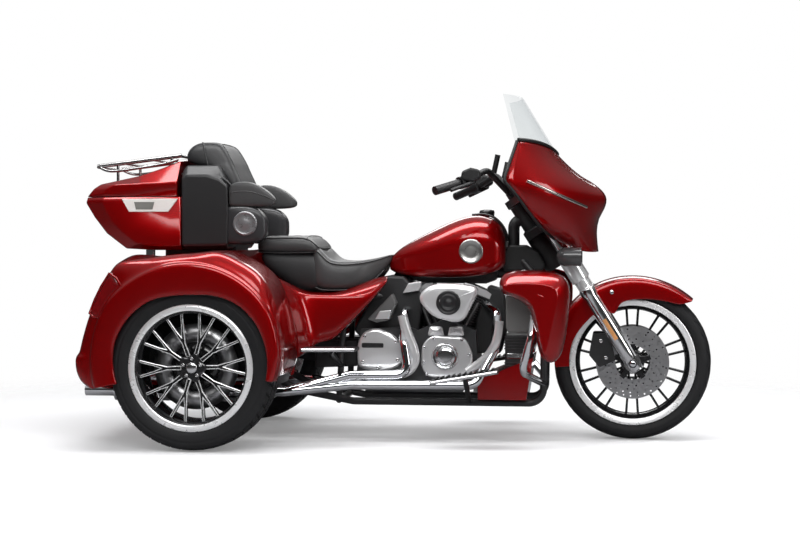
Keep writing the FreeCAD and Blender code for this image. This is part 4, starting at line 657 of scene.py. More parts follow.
# All three lines are distances from the wheel's centre, by the angle round it from straight ahead.
arch_line = [(-8, 306), (5, 311), (17, 315), (38, 318), (54, 315), (70, 300), (86, 285), (102, 288), (119, 302),
    (138, 307), (160, 309), (176, 300), (192, 290)]
lip_line = [(-8, 333), (5, 348), (18, 363), (32, 379), (45, 391), (58, 397), (72, 402), (90, 405), (108, 407), (122, 406),
    (140, 408), (155, 398), (170, 388), (192, 378)]
edge_line = [(-8, 338), (2, 358), (14, 377), (21, 383), (33, 403), (43, 428), (51, 449), (58, 455), (66, 455), (74, 462),
    (78, 461), (84, 448), (90, 441), (100, 440), (110, 451), (118, 472), (122, 488), (126, 502), (129, 494), (133, 484),
    (140, 470), (146, 460), (155, 450), (163, 446), (170, 447), (173.4, 448), (174.8, 461), (180, 461), (185, 452),
    (188.5, 436), (192, 405)]
angles = [-8, -4, 0, 5, 10, 16, 22, 28, 34, 40, 46, 52, 58, 64, 70, 75, 79, 84, 90, 97, 104, 111, 117, 121.5, 125.5, 129,
    134, 140, 146, 152, 158, 164, 169, 173.2, 174.8, 178, 182, 186, 189, 192]


def fender_point(angle, radius, across):
    """A place by its angle and distance round the rear wheel's centre, and its distance across."""
    angle = math.radians(angle)
    return at(radius * math.cos(angle), across, rear_up + radius * math.sin(angle))


def fender_section(angle):
    """Radius and distance across, from inside the arch over the flare and the edge to the trunk."""
    arch, lip, edge = along(arch_line, angle), along(lip_line, angle), along(edge_line, angle)
    room = edge - lip
    bumper = 5 if angle > 174 else 0
    rear = 42 * min(max((angle - 112) / 16, 0), 1)
    front = 14 * (1 - min(max((angle - 30) / 40, 0), 1))
    return [(arch + 16, 596), (arch + 3, 660), (arch, 683), (arch + 5, 690), (arch + (lip - arch) * 0.45, 692),
        (lip - 12, 690.5), (lip - 3, 687), (lip + min(2, room * 0.05), 681), (lip + room * 0.1, 673),
        (lip + room * 0.5, 665 + bumper), (edge - min(14, room * 0.3), 655 + bumper - front * 4 / 7),
        (edge - min(4, room * 0.1), 644 + bumper - front), (edge, 630 - front), (edge + 2 + rear * 0.1, 590 - front),
        (edge + 3 + rear * 0.5, 480), (edge + 3 + rear * 0.9, 362), (edge - 2 + rear * 0.9, 347), (352, 346)]


fender_columns = [[fender_point(angle, radius, -across) for radius, across in fender_section(angle)] for angle in angles]
sheet_of("fenders", list(zip(*fender_columns)), candy_red, mirror="apart", thick=4, creases=[(2, 0.5), (16, 0.7)])

# Trunk: the middle of the same shell between the fenders, with the doorway behind and the floor over the axle.
# Its door is a separate moulding in the same paint.


def part_of(name, source, keep, material, body="chassis", stands_for=None, smooth_below=None):
    """The faces of a CAD node whose corners pass a test, as a piece of their own."""
    mesh, placed, shape = nodes[source].data.copy(), nodes[source].matrix_world.copy(), bmesh.new()
    shape.from_mesh(mesh)
    away = [face for face in shape.faces if not keep([placed @ corner.co for corner in face.verts])]
    bmesh.ops.delete(shape, geom=away, context="FACES")
    if smooth_below:
        for face in shape.faces:
            face.smooth = True
        for edge in shape.edges:
            edge.smooth = len(edge.link_faces) == 2 and edge.calc_face_angle() < math.radians(smooth_below)
    shape.to_mesh(mesh)
    shape.free()
    mesh.materials.clear()
    part = stand(name, mesh)
    part.matrix_world = placed
    belongs(part, material, body, stands_for)


trunk_half_width = 0.3465
part_of("trunk_shell", "rear_body", lambda corners: abs(sum(p.y for p in corners) / len(corners)) <= trunk_half_width,
    candy_red, stands_for="rear_body", smooth_below=24)
dress(candy_red, "red_paint", "trunk_door")
soften(nodes["trunk_door"], 2.5)

# Wheel wells: liners of black textured plastic that close the fenders inside, from the arch round the tyre and
# down the trunk's wall.
liner_plastic = finish("liner_plastic", (0.014, 0.014, 0.015), 0.6, depth=0.3, pimples=(500, 0.0004))
liner_rows = [[fender_point(angle, radius, -across) for angle in range(-10, 191, 8)]
    for radius, across in ((344, 640), (349, 600), (349, 436), (342, 429), (200, 428), (60, 428))]
sheet_of("well_liners", liner_rows, liner_plastic, "black_paint", mirror="apart", thick=3, level=1, creases=[(2, 0.8)])

# Tail lamps: deep red lenses that follow the fender's rear edge, each in a rounded rim in the body's colour.
# They are set in from outside and sealed.
lamp_red = finish("tail_lamp_red", (0.13, 0.002, 0.003), 0.06, depth=0.4, scale=90, coat=1.0)


def on_fender(angle, share, out):
    """A place on the fender's outer face, at a share of the way from the lip to the edge."""
    lip, edge = along(lip_line, angle), along(edge_line, angle)
    return fender_point(angle, lip + (edge - lip) * share, -(675 - 16 * share + out))


def mirror_of(points):
    """The same points on the other side of the machine."""
    return [Vector((p.x, -p.y, p.z)) for p in points]


def pipe_of(name, points, radius, material, body="chassis", kind="NURBS", closed=False, resolution=3):
    """A round bead, rail or tube along points in metres; smooth between them unless its kind is POLY."""
    curve = bpy.data.curves.new(name, "CURVE")
    curve.dimensions = "3D"
    curve.bevel_depth, curve.bevel_resolution = radius / 1000, resolution
    curve.resolution_u = 6
    curve.use_fill_caps = True
    spline = curve.splines.new(kind)
    spline.points.add(len(points) - 1)
    for spot, point in zip(spline.points, points):
        spot.co = (*point, 1)
    spline.order_u = 3
    spline.use_endpoint_u, spline.use_cyclic_u = not closed, closed
    return belongs(stand(name, curve), material, body, None)


sheet_of("tail_lamp_lenses", [[on_fender(angle, share, -2 if share in (0.12, 0.92) or angle in (130, 152) else 3)
    for angle in (130, 132, 136, 141, 146, 150, 152)] for share in (0.12, 0.2, 0.4, 0.62, 0.8, 0.92)], lamp_red,
    "lamp_lens", stands_for="tail_lamps", mirror="apart", thick=2)
rim = [on_fender(angle, share, 1) for angle, share in ((130, 0.1), (136, 0.1), (143, 0.1), (151, 0.1), (152.5, 0.5),
    (152, 0.93), (145, 0.95), (138, 0.95), (131, 0.95), (129.5, 0.5))]
for side_name, line in (("right", rim), ("left", mirror_of(rim))):
    pipe_of(f"tail_lamp_bezel_{side_name}", line, 4.5, candy_red, kind="POLY", closed=True, resolution=2)

# Side covers: candy red panels under the seat. Their rear end sweeps out to meet the fenders, and their top
# edge turns in under the seat. Pegs hold them to the seat rails.
front_wall = [(345, 358), (416, 366), (464, 356), (547, 337), (600, 311), (640, 290), (672, 262)]
cover_columns = [(672, 345, -352, -12), (655, 350, -312, 6), (627, 372, -266, 26), (597, 398, -241, 56),
    (594, 404, -235, 440), (593, 412, -233, 505), (594, 452, -232, 540), (595, 500, -232, 585), (598, 545, -232, 622),
    (612, 582, -231, 655), (636, 618, -229, 684), (657, 650, -226, 709)]
seat_line = [(440, 596), (505, 598), (534, 607), (582, 625), (660, 657), (709, 666)]
cover_rows = []
for share, tuck, shrink in ((0.0, 56, -6), (0.0, 12, -1), (0.02, 4, 0), (0.055, 0, 0), (0.3, -3, 0), (0.7, -4, 0),
        (0.93, -1, 0), (0.98, 3, 0), (1.0, 10, 0), (1.0, 40, 2)):
    row = []
    for index, (high, low, across, x) in enumerate(cover_columns):
        z = high + (low - high) * share - shrink
        if index < 4:
            x += along(front_wall, min(max(z, 345), 672))
        elif 5 <= index < 11:
            x -= (high - z) * 0.1
        if index > 4 and share == 0.0:
            z += (along(seat_line, x) - high) * (1.0 if tuck > 20 else 0.5)
        row.append(at(x, across + tuck * (1 if index > 1 else 0.3), z))
    cover_rows.append(row)
sheet_of("side_covers_panel", cover_rows, candy_red, stands_for="side_covers", mirror="apart", thick=4, creases=[(2, 0.4)])

# Seat: black vinyl over moulded foam, in three parts: the passenger's pad, the rider's bucket and a skirt under
# both that hooks over the seat rails. Welted seams run round each pad.
leather, given, made = effect("leather_grain", {"Scale": 260.0}, {"Height": "Float", "Mask": "Float"})
place = node(leather, "TexCoord", "Object")
pebbles = node(leather, "TexVoronoi", "Distance", {"Vector": place, "Scale": given["Scale"]}, feature="SMOOTH_F1")
wrinkles = node(leather, "TexNoise", "Fac", {"Vector": place, "Scale": 9, "Detail": 5, "Distortion": 1.2})
feed(leather, made, {"Mask": wrinkles,
    "Height": node(leather, "Math", "Value", {0: pebbles, 1: 0.35, 2: wrinkles}, operation="MULTIPLY_ADD")})


def vinyl(name, tone, roughness):
    """A finish with the pebbles and wrinkles of stretched vinyl."""
    material = finish(name, tone, roughness, depth=0.35, spread=0.16, scale=6, specular=0.45)
    bumped(material, leather, 0.45, 0.0012)
    return material


seat_vinyl = vinyl("seat_vinyl", (0.045, 0.045, 0.046), 0.4)
piping_vinyl = vinyl("piping_vinyl", (0.03, 0.03, 0.031), 0.35)
skirt_vinyl = vinyl("skirt_vinyl", (0.014, 0.014, 0.015), 0.5)


def stuffed(name, rings, material, stands_for=None):
    """A padded form through rings of points, closed by a fan at each end."""
    points, faces = skin(rings, ends=False)
    count = len(rings[0])
    for start in (0, len(points) - count):
        points.append(sum(points[start:start + count], Vector()) / count)
        faces += [(start + c, start + (c + 1) % count, len(points) - 1) for c in range(count)]
    fuller(piece(name, points, faces, material, "leather", stands_for=stands_for))


def cushion(name, sections, material, middle=0, dish=0.0, crown=6, stands_for=None):
    """A stuffed form from sections along the machine: (x, half width, low, high). The sides bulge and the top
    is crowned, or dished in the middle where a rider sits."""
    rings = []
    for x, wide, low, high in sections:
        tall = high - low
        half = [(0, low), (wide * 0.6, low), (wide * 0.9, low + tall * 0.04), (wide * 0.985, low + tall * 0.2),
            (wide, low + tall * 0.45), (wide * 0.99, low + tall * 0.7), (wide * 0.955, high - tall * 0.12),
            (wide * 0.88, high - tall * 0.02), (wide * 0.74, high + crown * 0.5),
            (wide * 0.4, high + crown - dish * 0.8), (0, high + crown - dish)]
        rings.append([at(x, middle - y, z) for y, z in half] + [at(x, middle + y, z) for y, z in half[-2:0:-1]])
    stuffed(name, rings, material, stands_for)


passenger = [(160, 150, 776, 812), (164, 168, 768, 824), (178, 182, 764, 832), (230, 190, 762, 834), (300, 192, 762, 834),
    (352, 191, 763, 834), (380, 188, 764, 827), (398, 182, 766, 811), (412, 172, 768, 794), (420, 150, 772, 784)]
rider = [(386, 150, 640, 766), (396, 176, 622, 790), (416, 186, 610, 790), (438, 189, 606, 766), (462, 190, 606, 740),
    (496, 189, 606, 731), (540, 186, 608, 730), (585, 174, 616, 734), (622, 146, 634, 739), (655, 110, 662, 745),
    (685, 78, 700, 753), (704, 60, 724, 758), (712, 44, 738, 756)]
skirt = [(172, 158, 742, 766), (196, 178, 704, 768), (240, 184, 668, 768), (290, 186, 630, 768), (330, 186, 603, 768),
    (380, 186, 600, 768), (410, 184, 600, 760), (430, 170, 602, 740)]
cushion("seat_passenger_pad", passenger, seat_vinyl, dish=4, stands_for="seat")
cushion("seat_rider_bucket", rider, seat_vinyl, dish=14, crown=3)
cushion("seat_skirt", skirt, skirt_vinyl, crown=0)
for name, sections, share, out in (("passenger_welt", passenger, 0.9, 0.94), ("passenger_low_welt", passenger, 0.05, 0.93),
        ("rider_welt", rider[1:], 0.9, 0.945), ("rider_low_welt", rider[1:-2], 0.05, 0.95)):
    line = [at(x, -(wide * out + 1.5), low + (high - low) * share) for x, wide, low, high in sections]
    pipe_of(name, line + mirror_of(line[::-1]), 2.6, piping_vinyl, closed=True)
for index, x in enumerate((236, 300, 364)):
    seam = [at(x + 10 * share ** 2, 176 * share, 836.5 - 9 * share ** 4) for share in (-1, -0.75, -0.4, 0, 0.4, 0.75, 1)]
    pipe_of(f"passenger_seam_{index}", seam, 1.6, piping_vinyl)

# Battery box and covers: black moulded boxes between the frame rails, under the seat and the tank and ahead of
# the engine, with a grey side panel and bright pressed brackets bolted on each side.
box_plastic = finish("box_plastic", (0.013, 0.013, 0.014), 0.5, depth=0.2, pimples=(500, 0.0003))
for name, half, bevel, outline in (
        ("battery_box", 118, 10, [(688, 672), (765, 668), (846, 588), (828, 440), (752, 396), (600, 396), (556, 447),
            (620, 560)]),
        ("lower_frame_cover", 66, 8, [(384, 396), (566, 402), (566, 292), (384, 284)]),
        ("engine_front_shield", 62, 8, [(1110, 632), (1172, 614), (1186, 448), (1160, 350), (1040, 350), (1058, 490)]),
        ("coil_cover", 58, 8, [(770, 694), (1150, 694), (1140, 652), (1100, 638), (850, 640), (786, 654)])):
    side_prisms(name, [outline], -half, half, box_plastic, "black_paint", bevel=bevel)
panel_grey = finish("panel_grey", (0.12, 0.12, 0.12), 0.4, metal=0.2, depth=0.2, scale=10)


def flank(side, inner, outer):
    """Two distances across, on one side of the machine."""
    return sorted((side * inner, side * outer))


for side_name, side in sides:
    for name, inner, outer, material, slot_name, bevel, outline in (
            ("box_panel", 118, 178, panel_grey, "silver", 6, [(622, 494), (724, 600), (742, 560), (712, 490), (660, 480)]),
            ("box_bracket", 176, 188, cover_chrome, "silver", 4, [(655, 494), (674, 529), (722, 533), (714, 497)]),
            ("tank_bracket", 110, 150, cover_chrome, "chrome", 5, [(764, 600), (788, 642), (842, 650), (834, 612)])):
        side_prisms(f"{name}_{side_name}", [outline], *flank(side, inner, outer), material, slot_name, bevel=bevel)

# Tank fittings: a black filler cap and a black console strip that runs down the front of the tank. A bare round
# plate on each side stands where a badge would be.
emblem = finish("bare_emblem", (0.55, 0.55, 0.53), 0.3, metal=1.0, depth=0.2, spread=0.2, scale=60)
for side_name, side in sides:
    turned(f"tank_plate_{side_name}", (1047, side * 168, 773), [(-12, 50), (5, 50), (8, 47), (8, 42), (6, 40), (7.5, 20),
        (8, 1)], emblem, "silver", side=side)
cap_black = finish("cap_black", (0.014, 0.014, 0.015), 0.28, depth=0.2, coat=0.4)
strap = [(1040, 921), (1080, 926), (1110, 922), (1140, 906), (1164, 880), (1180, 850), (1188, 812)]
sheet_of("tank_strap", [[at(x, across, z + 3 - abs(across) * 0.05) for x, z in strap] for across in (-46, -30, 0, 30, 46)],
    cap_black, "black_paint", thick=8)
knob = [[at(1100 + a, b, height) for a, b in circle(reach, 28)]
    for reach, height in ((30, 914), (32, 934), (29, 942), (12, 945), (1, 945))]
piece("tank_cap", *skin(knob), cap_black, "black_paint")

# Heat shields: chromed half tubes clamped over the outside of the two header pipes, along the bends that lead
# to the mufflers.
for label, line, radius in (
        ("rear", [(770, 514), (786, 449), (815, 385), (825, 332), (803, 287), (749, 268), (680, 263)], 20),
        ("front", [(1164, 492), (1162, 432), (1136, 371), (1091, 322), (1035, 285)], 18)):
    pipe_of(f"header_shield_{label}", [at(x, -206, z) for x, z in line], radius, cover_chrome, resolution=6)

# Top case: a red moulded shell in two halves with a bevel round its flat sides. It stands on a foot and two
# posts bolted to the rear body, and the lid turns on lugs at its left edge.
case_black = finish("case_black", (0.016, 0.016, 0.017), 0.36, depth=0.2, pimples=(600, 0.0002))
base_side = [(-462, 994), (-466, 972), (-426, 896), (-381, 850), (-319, 803), (-221, 796), (-136, 796), (-136, 994)]
base_bevel = [(-537, 994), (-545, 972), (-508, 912), (-457, 846), (-373, 783), (-252, 777), (-136, 777), (-136, 994)]
lid_side = [(-462, 998), (-456, 1012), (-443, 1032), (-412, 1047), (-304, 1050), (-229, 1051), (-151, 1056), (-151, 998)]
lid_bevel = [(-537, 998), (-531, 1006), (-511, 1030), (-482, 1048), (-319, 1083), (-229, 1114), (-151, 1145), (-151, 998)]
lid_across = [242, 242, 242, 240, 228, 218, 205, 230]


def case_half(name, side, bevel, across, crown, body, stands_for):
    """A shell across the machine: a flat panel at each side, then the bevel, then the crowned middle."""
    rows = [[at(x, -272, z) for x, z in side], [at(x, -wide, z) for (x, z), wide in zip(bevel, across)]]
    for share in (-0.5, 0.0, 0.5):
        lift = crown * (1 - abs(share) * 0.8)
        rows.append([at(x - (lift * 0.4 if x < -500 else 0), wide * share, z + (lift if z > 1040 else 0))
            for (x, z), wide in zip(bevel, across)])
    rows += [mirror_of(rows[1]), mirror_of(rows[0])]
    points, faces = skin(rows, loop=False, ends=False)
    faces += [tuple(range(len(side))), tuple(range(len(points) - len(side), len(points)))[::-1]]
    shell = piece(name, points, faces, candy_red, "red_paint", body, stands_for)
    soften(shell, 6, 3, 12, smooth_panels=True)
    walled(shell, 4, -1)


case_half("topcase_base_shell", base_side, base_bevel, [242] * 8, 8, "chassis", "topcase_base")
case_half("topcase_lid_shell", lid_side, lid_bevel, lid_across, 14, "topcase_lid", "topcase_lid")


def is_hinge(corners):
    """Whether a face belongs to the small lugs at the case's left edge."""
    long = max(abs(a.x - b.x) for a in corners for b in corners)
    return min(p.y for p in corners) > 0.255 and long < 0.05 and min(p.z for p in corners) > 0.97


part_of("topcase_hinge_lugs", "topcase_base", is_hinge, case_black)
part_of("topcase_foot", "topcase_base", lambda corners: max(p.z for p in corners) < 0.7915
    and max(abs(p.y) for p in corners) < 0.1215, case_black)
part_of("topcase_hinge_knuckles", "topcase_lid", is_hinge, case_black, "topcase_lid")
for side_name, side in sides:
    side_prisms(f"topcase_post_{side_name}", [[(-297, 744), (-263, 744), (-263, 786), (-297, 786)]], side * 205 - 12,
        side * 205 + 12, chrome, "chrome")

# Front housing: the black moulded half of the case, with a shoulder that wraps forward under the backrest. It
# is screwed to the red base.
shoulder = [(-134, 796), (-134, 1070), (-113, 1083), (-29, 1083), (27, 1066), (60, 1040), (62, 965), (60, 800)]
middle_of = [(-134, 777), (-134, 1104), (-120, 1126), (16, 1126), (40, 1080), (52, 1040), (54, 965), (54, 782)]
housing_rows = [[at(x, y, z) for x, z in line] for line, y in ((shoulder, -267), (middle_of, -232), (middle_of, 232),
    (shoulder, 267))]
soften(piece("topcase_housing", *skin(housing_rows), case_black, "black_paint"), 9, 4, 25, smooth_panels=True)

# Side lamps: clear parallelogram lenses with a silver reflector behind, let into the flat sides of the case.
# They light the machine from the side at night.
lamp_clear = finish("side_lamp_clear", (0.78, 0.77, 0.74), 0.1, depth=0.12, scale=40, coat=1.0)
lamp_grey = finish("side_lamp_reflector", (0.42, 0.43, 0.40), 0.2, metal=0.6, depth=0.2, scale=60)
for side_name, side in sides:
    side_prisms(f"side_lamp_{side_name}", [[(-383, 988), (-146, 988), (-187, 934), (-352, 934)]], *flank(side, 270, 275.5),
        lamp_clear, "lamp_lens")
    side_prisms(f"side_lamp_bulb_{side_name}", [[(-330, 975), (-244, 975), (-252, 944), (-322, 944)]],
        *flank(side, 275, 277), lamp_grey, "lamp_lens")

# Backrest: a tall padded cushion in the seat's black vinyl, bolted to the front housing. A piped seam runs
# round its front and up each side.
backrest_levels = [(961, 60, 96, 176), (966, 55, 103, 190), (1000, 54, 106, 199), (1046, 40, 96, 200), (1090, 6, 76, 198),
    (1126, -60, 60, 196), (1136, -136, 56, 196), (1160, -144, 44, 194), (1186, -138, 29, 188), (1206, -122, 16, 178),
    (1220, -100, 0, 160), (1227, -78, -22, 120)]


def rounded_ring(low, high, half, z):
    """A rounded rectangle seen from above, for one level of an upright cushion."""
    corner_x, corner_y = (high - low) * 0.34, half * 0.16
    near, shy = half - corner_y, half - corner_y * 0.3
    right = [(high, 0), (high, half * 0.5), (high - 1, near), (high - corner_x * 0.35, shy), (high - corner_x, half),
        (low + corner_x, half), (low + corner_x * 0.35, shy), (low + 1, near), (low, half * 0.5), (low, 0)]
    return [at(x, -y, z) for x, y in right] + [at(x, y, z) for x, y in right[-2:0:-1]]


stuffed("backrest_cushion", [rounded_ring(low, high, half, z) for z, low, high, half in backrest_levels], skirt_vinyl,
    "backrest")
for side_name, side in sides:
    up_side = [at(x, side * y, z) for x, y, z in ((-64, 182, 1222), (-57, 192, 1200), (-50, 197, 1173), (-42, 199, 1140),
        (-34, 200, 1108))]
    pipe_of(f"backrest_side_piping_{side_name}", up_side, 3.2, piping_vinyl)
    wrap = [at(x, side * y, z) for x, y, z in ((-137, 240, 1088), (-113, 245, 1093), (-60, 246, 1097), (-20, 246, 1095),
        (27, 245, 1079), (60, 243, 1052), (78, 240, 1024), (88, 236, 1004))]
    pipe_of(f"housing_piping_{side_name}", wrap, 5, case_black)
front_seam = [at(high - 2, -half * 0.72, z) for z, low, high, half in backrest_levels[2:-1]]
pipe_of("backrest_front_piping", front_seam + mirror_of(front_seam[::-1]), 3, piping_vinyl)

# Armrests: padded vinyl over a plate bolted to each side of the backrest, with a seam along the outer side.
# They carry the passenger's arms.
arm_sections = [(60, 22, 962, 1024), (68, 28, 957, 1044), (90, 31, 954, 1054), (122, 31, 953, 1057), (152, 31, 953, 1054),
    (182, 30, 953, 1042), (212, 29, 955, 1025), (236, 26, 958, 1004), (249, 20, 964, 990), (254, 10, 971, 982)]
for side_name, side in sides:
    cushion(f"armrest_{side_name}", arm_sections, seat_vinyl, side * 231, crown=1,
        stands_for="armrests" if side < 0 else None)
    line = [at(x, side * (231 + wide * 0.97), low + (high - low) * 0.62) for x, wide, low, high in arm_sections[1:-1]]
    pipe_of(f"armrest_seam_{side_name}", line, 2, piping_vinyl)

# Speaker pods: moulded plastic domes ahead of the case, screwed to its housing, each with a bright trim disc on
# its outer side.
pod_plastic = finish("pod_plastic", (0.03, 0.03, 0.032), 0.3, depth=0.2, pimples=(500, 0.0002))
trim_grey = finish("trim_grey", (0.32, 0.32, 0.33), 0.28, metal=0.7, depth=0.2, scale=40)
pod_sections = [(40, 22, 806, 952), (58, 37, 802, 957), (96, 41, 800, 959), (140, 41, 800, 958), (176, 40, 806, 950),
    (200, 35, 818, 930), (214, 26, 836, 908), (219, 12, 850, 890)]
for side_name, side in sides:
    rings = []
    for x, wide, low, high in pod_sections:
        tall, y = high - low, side * 227
        half = [(0, low), (wide * 0.75, low), (wide * 0.97, low + tall * 0.08), (wide, low + tall * 0.3),
            (wide, low + tall * 0.7), (wide * 0.97, high - tall * 0.08), (wide * 0.75, high), (0, high)]
        rings.append([at(x, y - a, z) for a, z in half] + [at(x, y + a, z) for a, z in half[-2:0:-1]])
    fuller(piece(f"speaker_pod_{side_name}", *skin(rings), pod_plastic, "black_paint",
        stands_for="speaker_pods" if side < 0 else None))
    turned(f"pod_disc_{side_name}", (132, side * 268, 886), [(-8, 50), (0, 50), (4, 47), (3, 42), (1, 36), (5, 18), (6, 1)],
        trim_grey, "silver", count=40, side=side)

# Luggage rack: bent steel rails over the lid, chromed and gone a little dull, with a lower rail along each side.
# The rack is bolted through the lid and turns with it.
rack_steel = finish("rack_steel", (0.45, 0.44, 0.44), 0.2, metal=1.0, depth=0.1, scale=14)
dress(rack_steel, "chrome", "luggage_rack")
for side_name, side in sides:
    for name, radius, line in (
            ("low", 6, [(-505, 168, 1121), (-480, 180, 1106), (-430, 182, 1104), (-330, 180, 1118), (-217, 176, 1136),
                (-170, 172, 1152)]),
            ("top", 8, [(-517, 167, 1126), (-340, 168, 1148), (-158, 167, 1169)])):
        pipe_of(f"rack_{name}_rail_{side_name}", [at(x, side * y, z) for x, y, z in line], radius, rack_steel,
            "topcase_lid")

# Fork fairing: a moulded shell in candy red clamped to the fork, swept back to a point at each side. The nose
# rim stands out round the headlamp's round hole like a beak.
nose_rows = [
    [(1394, 0, 1166), (1384, -120, 1178), (1350, -230, 1197), (1290, -312, 1209), (1246, -345, 1210)],
    [(1432, 0, 1128), (1420, -120, 1138), (1375, -240, 1150), (1300, -332, 1158), (1231, -366, 1160)],
    [(1468, 0, 1098), (1462, -120, 1094), (1410, -255, 1100), (1310, -352, 1102), (1212, -392, 1102)],
    [(1508, 0, 1071), (1510, -125, 1058), (1438, -268, 1056), (1320, -365, 1056), (1198, -403, 1058)],
    [(1562, -56, 1034), (1540, -138, 1022), (1456, -275, 1020), (1328, -368, 1030), (1206, -402, 1040)],
    [(1604, -86, 987), (1560, -145, 984), (1464, -275, 984), (1338, -362, 1000), (1226, -396, 1022)],
    [(1572, -62, 928), (1550, -134, 932), (1468, -250, 925), (1358, -338, 945), (1264, -370, 970)],
    [(1557, 0, 897), (1542, -115, 880), (1474, -218, 868), (1388, -292, 888), (1302, -333, 916)],
    [(1557, 0, 830), (1543, -92, 822), (1488, -168, 815), (1422, -226, 832), (1346, -268, 860)],
    [(1564, 0, 772), (1550, -62, 769), (1514, -108, 770), (1460, -152, 782), (1387, -186, 824)]]
fairing_rows = [[at(*spot) for spot in row] for row in nose_rows]
fairing_rows.insert(0, [p + Vector((-0.014, 0, -0.004)) for p in fairing_rows[0]])
fairing_shell = sheet_of("fairing_shell", fairing_rows, candy_red, "red_paint", "steering", "fairing", mirror="joined",
    thick=4, creases=[(1, 0.7)])

# Inside of the fairing: a black moulded dash with four gauges in chromed bezels, and rubber beading pressed over
# the shell's edges. The handlebar and its controls are black too.
dark_plastic = finish("dark_plastic", (0.008, 0.008, 0.0085), 0.45, depth=0.2, pimples=(600, 0.0003))
dress(dark_plastic, "black_paint", "hand_controls", "handlebar")
shares = (-1, -0.9, -0.5, 0, 0.5, 0.9, 1)
dash_rings = [[at(1240, across * share, z) for share in shares]
    + [at(1282 - (z - 1052) * 0.1, across * share * 0.98, z) for share in shares[::-1]]
    for z, across in ((1052, 372), (1085, 366), (1120, 354), (1160, 336), (1190, 318))]
dash_panel = piece("dash_panel", *skin(dash_rings), dark_plastic, "black_paint", "steering", "dash", smooth=False)
soften(dash_panel, 8, 3)
bead = [row[4] + Vector((-0.004, 0, 0)) for row in fairing_rows[1:]]
for side_name, line in (("right", bead), ("left", mirror_of(bead))):
    pipe_of(f"fairing_edge_bead_{side_name}", line, 6.5, dark_plastic, "steering")
top_edge = [p + Vector((0, 0, 0.005)) for p in fairing_rows[1]]
pipe_of("windscreen_gasket", top_edge[::-1] + mirror_of(top_edge[1:]), 7.5, dark_plastic, "steering")
gauge_face = finish("gauge_face", (0.012, 0.012, 0.013), 0.15, depth=0.3, scale=60, coat=0.6)
for index, (across, size) in enumerate(((-64, 50), (64, 50), (-190, 34), (190, 34))):
    turned(f"gauge_{index}", (1235, across, 1122), [(0, size), (-12, size), (-14, size * 0.9), (-6, size * 0.86),
        (-5, size * 0.3), (-5, 0.6)], [chrome, gauge_face], "chrome", "steering", 40, [0, 0, 0, 1, 1], forward=True,
        ends=False)

# Headlamp: a chromed trim ring and a clear lens in front of a dark bowl, set back in the nose. A dark bucket
# joins the ring to the hole in the shell.
lens_clear = finish("headlamp_lens", (0.75, 0.77, 0.78), 0.08, metal=0.3, depth=0.2, scale=30, coat=1.0)
for name, x, profile, material, slot_name, stands_for in (
        ("ring", 1472, [(0, 70), (0, 84), (18, 84), (26, 80), (24, 74), (10, 72)], chrome, "chrome", "headlamp"),
        ("lens", 1492, [(-6, 76), (10, 76), (34, 68), (54, 52), (68, 30), (73, 12), (74, 1)], lens_clear, "lamp_lens", None),
        ("bowl", 1300, [(0, 34), (40, 56), (120, 74), (172, 78)], dark_plastic, "black_paint", None)):
    turned(f"headlamp_{name}", (x, 0, 985), profile, material, slot_name, "steering", forward=True, stands_for=stands_for)
nose_line = [(890, 1556), (930, 1566), (986, 1590), (1034, 1552), (1074, 1500)]
rim = [(a / 84, 985 + b) for a, b in circle(84, 32)]
rim.append(rim[0])
sheet_of("headlamp_bucket", [[at(1476, 82 * a, 985 + (z - 985) * 82 / 84) for a, z in rim],
    [at(along(nose_line, z) - 12, 84 * a, z) for a, z in rim]], dark_plastic, "black_paint", "steering", thick=2, level=1)

# Windscreen: clear polycarbonate bolted to the fairing's top edge, faintly grey where it is seen along its
# thickness, with a trace of dust.
screen_clear = bpy.data.materials.new("screen_clear")
screen_clear.use_nodes = True
tree = screen_clear.node_tree
tree.nodes.remove(tree.nodes["Principled BSDF"])
facing = node(tree, "LayerWeight", "Facing", {"Blend": 0.3})
clear_tone = node(tree, "ValToRGB", None, {"Fac": facing})
stops = clear_tone.color_ramp.elements
stops[0].color = (0.965, 0.975, 0.975, 1)
stops[1].color = (0.72, 0.74, 0.75, 1)
stops.new(0.8).color = (0.93, 0.94, 0.945, 1)
dust = node(tree, "TexNoise", "Fac", {"Vector": node(tree, "TexCoord", "Object"), "Scale": 14})
dust = node(tree, "MapRange", "Result", {"Value": dust, "To Min": 0.97, "To Max": 1.0})
dusted = node(tree, "VectorMath", "Vector", {0: clear_tone.outputs["Color"], "Scale": dust}, operation="SCALE")
glance = node(tree, "Math", "Value", {0: facing, 1: 4}, operation="POWER")
screen_mix = node(tree, "MixShader", "Shader", {
    "Fac": node(tree, "MapRange", "Result", {"Value": glance, "To Min": 0.01, "To Max": 0.12}),
    1: node(tree, "BsdfTransparent", "BSDF", {"Color": dusted}), 2: node(tree, "BsdfGlossy", "BSDF", {"Roughness": 0.03})})
feed(tree, tree.nodes["Material Output"], {"Surface": screen_mix})
dress(screen_clear, "screen", "windscreen")

# Side strips and signals: a bright strip lies along each cheek of the fairing, held by clips through the shell.
# The signal pods hang on the fork.
strip_chrome = finish("strip_chrome", (0.55, 0.5, 0.47), 0.16, metal=1.0, depth=0.2, scale=40)
for side_name, side in sides:
    solid, line = fairing_shell.evaluated_get(bpy.context.evaluated_depsgraph_get()), []
    for x, z in ((1282, 1050), (1330, 1030), (1390, 1003), (1450, 977), (1512, 950)):
        place, normal = solid.ray_cast(at(x, side * 900, z), Vector((0, -side, 0)))[1:3]
        line.append(place + normal * 0.002)
    pipe_of(f"fairing_strip_{side_name}", line, 7, strip_chrome, "steering")
signal_grey = finish("signal_grey", (0.05, 0.05, 0.052), 0.25, depth=0.2, scale=30, coat=0.5)
dress(signal_grey, "black_paint", "signals")

